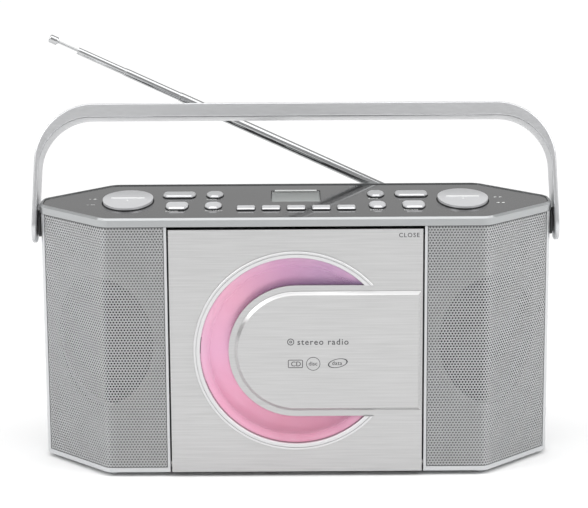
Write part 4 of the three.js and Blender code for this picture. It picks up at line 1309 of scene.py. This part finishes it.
softened_copy("turntable", mechanism_black, 0.25 * MM)
nose_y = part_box("turntable")[0].y
balls = []
for index in range(3):
    angle = index * 2 * pi / 3 + pi / 2
    ball = bmesh.new()
    bmesh.ops.create_uvsphere(ball, u_segments=16, v_segments=10, radius=BALL_RADIUS)
    bmesh.ops.translate(ball, verts=ball.verts, vec=(
        BALL_CIRCLE * cos(angle), nose_y + BALL_DEPTH, disc_z + BALL_CIRCLE * sin(angle)))
    balls.append(ball)
add_piece("clamp_balls", joined(balls), motor_steel, body_of("turntable"))

# %% [markdown]
# Most of the mechanism only needs the finish of its material and edges that are not razor sharp. A
# loop makes a softened copy of each of those nodes. The numbers are edge widths in millimetres.

# %% The mechanism, the speakers and the rear fittings
SOFTENED = {
    "pickup_sled": (mechanism_black, 0.3), "sled_gear": (gear_white, 0.08),
    "spindle_motor": (motor_steel, 0.6), "sled_motor": (motor_steel, 0.6),
    "guide_rod_lower": (motor_steel, 0.2), "guide_rod_upper": (motor_steel, 0.2),
    "door_latch": (mechanism_black, 0.6), "speaker_frame_left": (speaker_steel, 0.3),
    "speaker_frame_right": (speaker_steel, 0.3), "speaker_cone_left": (cone_paper, 0.1),
    "speaker_cone_right": (cone_paper, 0.1), "main_board": (board_green, 0.15),
    "key_board": (board_green, 0.15), "transformer": (transformer_iron, 0.8),
    "mains_socket": (mechanism_black, 0.3), "headphone_jack": (mechanism_black, 0.3),
    "handle_hub_left": (mechanism_black, 0.6), "handle_hub_right": (mechanism_black, 0.6),
    "battery_cover": (cabinet_silver, 0.5), "antenna_swivel": (antenna_chrome, 0.25),
}
for node, (recipe, width) in SOFTENED.items():
    softened_copy(node, recipe, width * MM)

# %% [markdown]
# The disc lies in a shallow bowl in the chassis. The inside of the bowl takes the disc's own colours and
# glows a little: painted reflection and painted light where the bowl would lie in shade, and that is
# what the window shows round the disc's edge. It is a second material on the faces inside the bowl,
# found by how far they are from the axis and how deep they lie.

# %% The disc's bowl
BOWL_GAP = 3.6 * MM
BOWL_DEPTH = 5.2 * MM
CHASSIS_EDGE = 0.5 * MM
chassis_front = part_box("disc_chassis")[0].y
chassis = frame_copy("disc_chassis")
soften(chassis, sharp_edges(chassis), CHASSIS_EDGE, 2)
chassis.normal_update()
for face in chassis.faces:
    # Faces inside the bowl take the painted reflection and glow.
    centre = face.calc_center_median()
    from_axis = Vector((centre.x, centre.z - disc_z)).length
    in_bowl = from_axis < disc_radius + BOWL_GAP and centre.y < chassis_front + BOWL_DEPTH
    front_skin = 0.3 * MM if from_axis < disc_radius else 0.02 * MM
    face.material_index = int(in_bowl and centre.y > chassis_front + front_skin)
chassis_skin = add_piece("disc_chassis_skin", chassis, mechanism_black, "cabinet",
                         ["disc_chassis"], outward=False)
chassis_skin.data.materials.append(bowl_painted_reflection.material)

# %% [markdown]
# The pickup looks at the disc through a small lens, which is a shallow dome of coated glass in a
# black turret. It travels with the sled.

# %% Pickup lens
LENS_PARK = 22 * MM
LENS_RADIUS = 2.6 * MM
LENS_RISE = 0.1 * MM
sled_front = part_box("pickup_sled")[0].y
lens_place = Matrix.Translation((-LENS_PARK, sled_front + 0.15 * MM, disc_z)) @ FACING_FRONT
lens_dome = [
    (LENS_RADIUS * cos(step * pi / 12), LENS_RISE * sin(step * pi / 12)) for step in range(7)
]
lens_shape = turned([(LENS_RADIUS, -0.4 * MM)] + lens_dome, lens_place, 32)
add_piece("pickup_lens", lens_shape, lens_glass, body_of("pickup_sled"))

# %% [markdown]
# The handle is a flat strap bent into a wide arch. Its front outline is drawn square first, and then
# its corners are rounded: a large round outside, a smaller one inside, so that the bar is thick and
# the legs are thin. The ends of the legs are full half circles round the pivots.

# %% Carrying handle
HANDLE_RISE = 78.7 * MM
HANDLE_OUTER = 175 * MM
HANDLE_BAR = 9.4 * MM
HANDLE_LEG = 3.2 * MM
HANDLE_SPLAY = radians(2.3)
HANDLE_LEAN = radians(16.5)
HANDLE_DEPTH = 26 * MM
OUTER_CORNER = 38 * MM
INNER_CORNER = 33 * MM
STRAP_EDGE = 1.1 * MM
hub_pivot = middle("handle_hub_left")


def handle_shape():
    foot = -HANDLE_DEPTH / 2
    lean = tan(HANDLE_SPLAY)
    inner_top = HANDLE_RISE - HANDLE_BAR

    def outer(z):
        return HANDLE_OUTER - z * lean

    def inner(z):
        return outer(z) - HANDLE_LEG

    right = [(inner(foot), foot), (outer(foot), foot), (outer(HANDLE_RISE), HANDLE_RISE)]
    left = [(-x, z) for x, z in reversed(right)]
    under = [(-inner(inner_top), inner_top), (inner(inner_top), inner_top)]
    bm = bmesh.new()
    verts = [bm.verts.new((x, HANDLE_DEPTH / 2, z)) for x, z in right + left + under]
    bm.faces.new(verts)
    round_corners(bm, [verts[2], verts[3]], OUTER_CORNER, 24)
    inner_corners = [
        vert for vert in bm.verts
        if abs(vert.co.z - inner_top) < 0.01 * MM
        and abs(abs(vert.co.x) - inner(inner_top)) < 0.01 * MM
    ]
    round_corners(bm, inner_corners, INNER_CORNER, 24)
    pushed = bmesh.ops.extrude_face_region(bm, geom=bm.faces[:])
    bmesh.ops.translate(bm, verts=tagged_verts(pushed), vec=(0, -HANDLE_DEPTH, 0))
    bmesh.ops.recalc_face_normals(bm, faces=bm.faces)
    feet = [
        edge for edge in sharp_edges(bm, 60)
        if all(abs(vert.co.z - foot) < 0.1 * MM for vert in edge.verts)
        and abs(edge.verts[0].co.x - edge.verts[1].co.x) > HANDLE_LEG / 2
    ]
    soften(bm, feet, HANDLE_DEPTH / 2 - 0.05 * MM, 12)
    soften(bm, sharp_edges(bm, 60), STRAP_EDGE, 4)
    tilt = Matrix.Translation((0, hub_pivot.y, hub_pivot.z)) @ Matrix.Rotation(-HANDLE_LEAN, 4, "X")
    bmesh.ops.transform(bm, matrix=tilt, verts=bm.verts)
    return bm


add_piece("handle_strap", handle_shape(), handle_satin, "handle", stands_for=["handle"])

# %% [markdown]
# The antenna is four drawn tubes, one inside the other, and a thin rod with a turned knob. Each tube
# is rolled in a little at its mouth, which grips the next one and shows as a fine ring. The first
# tube is flattened at its foot and turns on a pin. Its sizes are in millimetres along its length.

# %% Antenna tubes
ANTENNA_SLOPE = radians(24.9)
TUBE_DIAMETERS = (7.0, 6.3, 5.6, 4.9)
TUBE_ENDS = (147, 173, 214, 249)
TUBE_INSIDE = (136, 136, 132, 128)
KNUCKLE_REACH = 8
ROD_RADIUS = 0.9
antenna_y = back_y + 0.6 * MM + TUBE_DIAMETERS[0] / 2 * MM
ANTENNA_PIVOT = Vector((78 * MM, antenna_y, rim_high.z - 12.4 * MM))
antenna_place = (
    Matrix.Translation(ANTENNA_PIVOT)
    @ Matrix.Rotation(ANTENNA_SLOPE, 4, "Y")
    @ Matrix.Rotation(-pi / 2, 4, "Y")
)


def tube_shape(index):
    outer = TUBE_DIAMETERS[index] / 2
    end = TUBE_ENDS[index]
    start = KNUCKLE_REACH if index == 0 else end - TUBE_INSIDE[index]
    following = TUBE_DIAMETERS[index + 1] / 2 if index < 3 else ROD_RADIUS
    mouth = following + 0.06
    profile = [
        (outer - 0.3, start + 1), (outer - 0.3, start), (outer - 0.1, start), (outer, start + 0.2),
        (outer, end - 1.6), (outer - 0.12, end - 1.3), (outer - 0.12, end - 1.0), (outer, end - 0.8),
        (outer - 0.02, end - 0.25), (outer - 0.15, end), (mouth, end), (mouth, end - 1),
        (outer - 0.3, end - 1.6), (outer - 0.3, start + 1),
    ]
    return turned([(radius * MM, height * MM) for radius, height in profile], antenna_place, 32)


def knuckle_shape():
    """The flattened end of the first tube, with the pin that it turns on."""
    half = 1.4 * MM
    plug_profile = [(0, 7), (3.0, 7), (3.45, 8), (3.45, 9.5), (0, 9.5)]
    plug = turned([(radius * MM, height * MM) for radius, height in plug_profile], antenna_place, 32)
    tongue = slab(
        [(-2.3 * MM, -2.5 * MM, -half), (9 * MM, -2.5 * MM, -half),
         (9 * MM, 2.5 * MM, -half), (-2.3 * MM, 2.5 * MM, -half)],
        (0, 0, 2 * half), [((0, 3), 2.2 * MM, 8)], 0.3 * MM, 2,
    )
    lay = (Matrix.Translation(ANTENNA_PIVOT) @ Matrix.Rotation(ANTENNA_SLOPE, 4, "Y")
           @ Matrix.Rotation(pi, 4, "Z"))
    bmesh.ops.transform(tongue, matrix=lay, verts=tongue.verts)
    return [plug, tongue]


for index in range(4):
    node = "antenna_base" if index == 0 else f"antenna_tube_{index + 1}"
    parts = [tube_shape(index)] + (knuckle_shape() if index == 0 else [])
    add_piece(f"{node}_chrome", joined(parts), antenna_chrome, body_of(node), stands_for=[node])

# %% [markdown]
# The rod is one turned profile: a plain length, a stop at its foot that the last tube holds, and a
# knob with a neck and a groove. The knob's rounded end is a quarter circle.

# %% Antenna rod
ROD_START = 140
ROD_END = 270
KNOB_RADIUS = 2.85
KNOB_ROUND = 0.9
quarter = [step * pi / 12 for step in range(6, -1, -1)]
knob = [
    (KNOB_RADIUS - KNOB_ROUND + KNOB_ROUND * sin(angle), ROD_END - KNOB_ROUND + KNOB_ROUND * cos(angle))
    for angle in quarter
]
rod_profile = [
    (0, ROD_START), (2.0, ROD_START), (2.0, ROD_START + 8), (ROD_RADIUS, ROD_START + 9),
    (ROD_RADIUS, ROD_END - 7.0), (1.5, ROD_END - 6.6), (1.5, ROD_END - 6.0), (2.6, ROD_END - 5.9),
    (KNOB_RADIUS, ROD_END - 5.4), (KNOB_RADIUS, ROD_END - 3.6), (2.8, ROD_END - 3.4),
    (2.8, ROD_END - 3.1), (KNOB_RADIUS, ROD_END - 2.9),
] + knob + [(0, ROD_END)]
rod_shape = turned([(radius * MM, height * MM) for radius, height in rod_profile], antenna_place, 32)
add_piece("antenna_rod_chrome", rod_shape, antenna_chrome, body_of("antenna_rod"),
          ["antenna_rod"])

# %% [markdown]
# The feet are soft buttons with a rounded lower edge, so that they grip and do not mark a table.

# %% Feet
FOOT_ROUND = 1.2 * MM
for end in ("front", "rear"):
    for hand in ("left", "right"):
        node = f"foot_{end}_{hand}"
        low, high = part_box(node)
        radius = (high.x - low.x) / 2
        tall = high.z - low.z
        flat_radius = radius - FOOT_ROUND
        profile = [(0, 0), (flat_radius, 0)]
        profile += [
            (flat_radius + FOOT_ROUND * sin(angle), FOOT_ROUND - FOOT_ROUND * cos(angle))
            for angle in (step * pi / 10 for step in range(1, 6))
        ]
        profile += [(radius, tall), (0, tall)]
        place = Matrix.Translation(((low.x + high.x) / 2, (low.y + high.y) / 2, low.z))
        add_piece(f"{node}_pad", turned(profile, place, 32), foot_rubber, "cabinet", stands_for=[node])

# %% [markdown]
# The back is plain, so small things carry it: screws in round dishes, a raised frame round each set
# of slots and round the mains inlet, and a lip above the battery cover. All the raised lines are
# one moulding, in the shell's own silver.

# %% Screws and raised lines
VENT_CENTRE = 34 * MM
VENT_HALF = 19.5 * MM
VENT_LOW, VENT_HIGH = 77.5 * MM, 115 * MM
INLET_MARGIN = 2 * MM
FRAME_RISE = 0.5 * MM
SCREW_SIDE = 117 * MM
SCREW_INNER = 28 * MM
SCREW_ROWS = (10.5 * MM, 86 * MM, 156 * MM)
SLOT_LONG, SLOT_SHORT = 1.5 * MM, 0.28 * MM
cover_low, cover_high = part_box("battery_cover")
inlet_low, inlet_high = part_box("mains_socket")
jack_low, jack_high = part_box("headphone_jack")
back_wall = cover_high.y
screws = [(x, z) for x in (-SCREW_SIDE, SCREW_SIDE) for z in SCREW_ROWS]
screws += [(x, SCREW_ROWS[-1]) for x in (-SCREW_INNER, SCREW_INNER)]


def turned_mm(profile, place, steps):
    """A turned profile whose numbers are millimetres."""
    return turned([(radius * MM, height * MM) for radius, height in profile], place, steps)


collars, dishes, heads = [], [], []
for x, z in screws:
    spot = Matrix.Translation((x, back_wall, z)) @ FACING_BACK
    collars.append(turned_mm(
        [(3.1, 0), (3.2, 0.5), (3.5, 0.6), (3.9, 0.5), (4.3, 0), (3.1, 0)], spot, 32))
    dishes.append(turned_mm([(0, 0.03), (3.15, 0.03), (3.15, -0.1)], spot, 32))
    heads.append(turned_mm([(0, 0.45), (1.2, 0.42), (2.0, 0.25), (2.3, 0)], spot, 24))
    for wide, tall in ((SLOT_LONG, SLOT_SHORT), (SLOT_SHORT, SLOT_LONG)):
        dishes.append(oblong(x - wide, x + wide, z - tall, z + tall, back_wall, 0.48 * MM))
for side in (-1, 1):
    vent_x = side * VENT_CENTRE
    collars.append(frame_ring(vent_x - VENT_HALF, vent_x + VENT_HALF, VENT_LOW, VENT_HIGH,
                              back_wall, FRAME_RISE, 1.1 * MM, 3 * MM))
collars.append(frame_ring(
    inlet_low.x - INLET_MARGIN, inlet_high.x + INLET_MARGIN,
    inlet_low.z - INLET_MARGIN, inlet_high.z + INLET_MARGIN, back_wall, FRAME_RISE, 1.2 * MM, 1.6 * MM,
))
collars.append(oblong(-cover_high.x, cover_high.x, cover_high.z + 1.6 * MM, cover_high.z + 2.4 * MM,
                      back_wall, 0.4 * MM, edge=0.15 * MM))
add_piece("rear_mouldings", joined(collars), cabinet_silver, "cabinet")
add_piece("screw_dishes", joined(dishes), mechanism_black, "cabinet")
add_piece("screw_heads", joined(heads), motor_steel, "cabinet")

# %% [markdown]
# The headphone socket has a steel collar that lines its bore, and the mains inlet has two steel pins
# with rounded tips. They are turned shapes that point backwards, out of the set.

# %% Socket collar and inlet pins
PIN_SPREAD = 4.3 * MM
jack_centre = (jack_low + jack_high) / 2
jack_place = Matrix.Translation((jack_centre.x, jack_high.y, jack_centre.z)) @ FACING_BACK
jack_collar = turned_mm(
    [(1.9, -2), (1.9, 0.4), (2.3, 0.7), (3.3, 0.7), (3.7, 0.35), (3.7, 0), (1.9, -2)], jack_place, 32)
inlet_centre = (inlet_low + inlet_high) / 2
pins = [jack_collar]
for side in (-1, 1):
    pin_x = inlet_centre.x + side * PIN_SPREAD
    place = Matrix.Translation((pin_x, inlet_high.y, inlet_centre.z)) @ FACING_BACK
    pins.append(turned_mm([(1.3, -12.9), (1.3, -3.4), (0.9, -2.7), (0, -2.6)], place, 20))
add_piece("contacts_and_collar", joined(pins), contact_steel, "cabinet")

# %% [markdown]
# The label is a plain plate with grey lines where a real one has its small print. It says nothing.

# %% Blank label
LABEL_LEFT, LABEL_LOW = -118 * MM, 22 * MM
LABEL_WIDE, LABEL_TALL, LABEL_THICK = 34 * MM, 24 * MM, 0.12 * MM
label_face = back_wall + LABEL_THICK
label_right = LABEL_LEFT + LABEL_WIDE
label_top = LABEL_LOW + LABEL_TALL
label = oblong(LABEL_LEFT, label_right, LABEL_LOW, label_top, back_wall, LABEL_THICK, 2 * MM)
add_piece("blank_label", label, label_grey, "cabinet")
lines = [frame_ring(LABEL_LEFT + 1 * MM, label_right - 1 * MM, LABEL_LOW + 1 * MM, label_top - 1 * MM,
                    label_face, PRINT_DEPTH, 0.3 * MM, 1.4 * MM)]
line_left = LABEL_LEFT + 3.5 * MM
for row, length in enumerate((26, 20, 27, 23, 12)):
    z = LABEL_LOW + (18.5 - 3.4 * row) * MM
    lines.append(oblong(line_left, line_left + length * MM, z, z + 0.6 * MM, label_face, PRINT_DEPTH))
add_piece("label_lines", joined(lines), print_grey, "cabinet")

# %% [markdown]
# The battery cover has five ribs for a thumb, an arrow that shows which way it opens, and a raised
# line round its edge. They ride on the cover, so they swing with it.

# %% Grip of the battery cover
RIB_ROWS = (50.5, 52.7, 54.9, 57.1, 59.3)
RIB_HALF = 18 * MM
RIB_TALL = 0.9
grip = [
    oblong(-RIB_HALF, RIB_HALF, z * MM, (z + RIB_TALL) * MM, back_wall, 0.7 * MM, edge=0.25 * MM)
    for z in RIB_ROWS
]
grip.append(slab([(x * MM, back_wall, z * MM) for x, z in ((-4, 46.8), (4, 46.8), (0, 42.5))],
                 (0, 0.4 * MM, 0)))
grip.append(frame_ring(cover_low.x + 4 * MM, cover_high.x - 4 * MM, cover_low.z + 4 * MM,
                       cover_high.z - 3 * MM, back_wall, 0.35 * MM, 0.8 * MM, 3 * MM))
add_piece("cover_grip", joined(grip), cabinet_silver, body_of("battery_cover"))

# %% [markdown]
# Behind the battery cover are the contacts: six cells lie there in two rows, so each end of a row
# has either a coil spring or a flat plate with a raised button. A spring is a small circle that is
# spun round its axis while it moves along it.

# %% Battery contacts
BAY_HALF = 77 * MM
CELL = 27 * MM
COVER_THICK = 2.5 * MM
PLATE_CORNERS = ((-9, -10), (9, -10), (9, 10), (-9, 10))


def coil(place, radius, wire, turns, length):
    bm = bmesh.new()
    ring = bmesh.ops.create_circle(bm, segments=8, radius=wire)["verts"]
    bmesh.ops.rotate(bm, verts=ring, cent=(0, 0, 0), matrix=Matrix.Rotation(pi / 2, 3, "X"))
    bmesh.ops.translate(bm, verts=ring, vec=(radius, 0, 0))
    steps = 16 * turns
    bmesh.ops.spin(
        bm, geom=bm.verts[:] + bm.edges[:], cent=(0, 0, 0), axis=(0, 0, 1),
        dvec=(0, 0, length / steps), angle=2 * pi * turns, steps=steps,
    )
    bmesh.ops.transform(bm, matrix=place, verts=bm.verts)
    return bm


plates, springs = [], []
for row, cell_z in enumerate((cover_low.z + 13.5 * MM, cover_high.z - 14 * MM)):
    for side in (-1, 1):
        wall_x = side * (BAY_HALF - 0.15 * MM)
        cell_y = back_wall - COVER_THICK - CELL / 2
        inwards = Matrix.Translation((wall_x, cell_y, cell_z)) @ Matrix.Rotation(-side * pi / 2, 4, "Y")
        plates.append(slab(
            [(wall_x, cell_y + y * MM, cell_z + z * MM) for y, z in PLATE_CORNERS],
            (-side * 0.4 * MM, 0, 0), [(range(4), 2 * MM, 4)],
        ))
        if (row == 0) == (side < 0):
            springs.append(coil(inwards, 5.5 * MM, 0.55 * MM, 4, 8 * MM))
        else:
            plates.append(turned_mm([(0, 2.0), (3.2, 1.8), (4.5, 0.4)], inwards, 28))
add_piece("contact_plates", joined(plates), contact_steel, "cabinet")
add_piece("contact_springs", joined(springs), contact_steel, "cabinet", outward=False)

# %% [markdown]
# Where the handle turns there is a flat round cap on each leg, held by a small domed rivet.

# %% Handle caps
caps = []
for side in (-1, 1):
    place = (
        Matrix.Translation((0, hub_pivot.y, hub_pivot.z)) @ Matrix.Rotation(-HANDLE_LEAN, 4, "X")
        @ Matrix.Translation((side * HANDLE_OUTER, 0, 0))
        @ Matrix.Rotation(side * (pi / 2 - HANDLE_SPLAY), 4, "Y")
    )
    caps.append(turned_mm(
        [(0, 0.22), (1.6, 0.20), (2.1, 0.08), (2.5, 0.08), (4.2, 0.14), (4.8, 0.08), (5.0, -0.1)],
        place, 40,
    ))
add_piece("handle_caps", joined(caps), rim_silver, "handle")

# %% [markdown]
# The plain solids underneath the finer pieces take the finish that their material slot names, so
# that the set looks right even where one of them shows.

# %% Finishes for the frame's own nodes
slot_recipes = {
    "cabinet_silver": cabinet_silver, "rim_silver": rim_silver, "panel_gloss": panel_gloss,
    "key_silver": key_silver, "display_clear": display_clear, "display_body": display_body,
    "grille_metal": grille_metal, "speaker_steel": speaker_steel, "cone_paper": cone_paper,
    "door_brushed": door_brushed, "window_clear": window_clear, "disc_foil": disc_foil,
    "mechanism_black": mechanism_black, "motor_steel": motor_steel, "gear_white": gear_white,
    "board_green": board_green, "transformer_iron": transformer_iron, "foot_rubber": foot_rubber,
    "handle_satin": handle_satin, "antenna_chrome": antenna_chrome,
}
for entry in frame["record"]["subparts"]:
    skin = nodes[entry["node"]].data
    skin.materials.clear()
    skin.materials.append(slot_recipes[entry["material_slot"]].material)

# %% [markdown]
# The set stands on a plain pale floor that runs on past every view. Close to the set it only takes
# the light that falls on it, so the set keeps its soft shadow. Further off it glows by itself, more
# and more, until it is as white as paper in full light.

# %% Floor
FLOOR_HALF = 60.0
FLOOR_DROP = 0.05 * MM
GLOW_STARTS = 0.35
GLOW_FULL = 2.2
floor_shape = bmesh.new()
bmesh.ops.create_grid(floor_shape, x_segments=1, y_segments=1, size=FLOOR_HALF)
floor_mesh = bpy.data.meshes.new("floor")
floor_shape.to_mesh(floor_mesh)
floor_shape.free()
floor = bpy.data.objects.new("floor", floor_mesh)
floor.location.z = -FLOOR_DROP
bpy.context.scene.collection.objects.link(floor)
floor_recipe = Recipe("floor_paper", (0.86, 0.86, 0.86), Roughness=0.9, Emission_Strength=0.5)
away = floor_recipe.node(
    "ShaderNodeVectorMath", {"operation": "LENGTH"}, {0: floor_recipe.here()}, "Value")
lit = floor_recipe.node("ShaderNodeMapRange", {}, {
    "Value": away, "From Min": GLOW_STARTS, "From Max": GLOW_FULL, "To Min": 0.0, "To Max": 1.0})
floor_recipe.shade(Emission_Color=floor_recipe.mix(lit, (0.0, 0.0, 0.0), (1.0, 1.0, 1.0)))
floor_mesh.materials.append(floor_recipe.material)
list_finishes(floor_recipe)

# %% [markdown]
# A wide sky of soft light, a softbox on either side and one overhead give the metal something bright
# to show at its bends, while the front stays calm.

# %% Studio light
SKY_STRENGTH = 0.52
AIM = (0, 0, 0.1)


def softbox(name, place, aim, width, height, power):
    light = bpy.data.lights.new(name, "AREA")
    light.shape = "RECTANGLE"
    light.size = width
    light.size_y = height
    light.energy = power
    box = bpy.data.objects.new(name, light)
    box.location = place
    box.rotation_euler = (Vector(aim) - Vector(place)).to_track_quat("-Z", "Y").to_euler()
    bpy.context.scene.collection.objects.link(box)
    print("light", name, power, "W")


softbox("side_light_left", (-1.3, -0.4, 1.1), AIM, 1.2, 1.0, 14)
softbox("side_light_right", (1.3, -0.4, 1.1), AIM, 1.2, 1.0, 14)
softbox("top_light", (0, -0.3, 1.7), AIM, 2.0, 1.6, 18)

world = bpy.data.worlds.new("studio")
world.use_nodes = True
sky = world.node_tree.nodes["Background"]
sky.inputs["Color"].default_value = (1.0, 1.0, 1.0, 1.0)
sky.inputs["Strength"].default_value = SKY_STRENGTH
bpy.context.scene.world = world
bpy.context.scene.view_settings.view_transform = "Standard"

# %% [markdown] The finer pieces must not make the set larger than its solids.
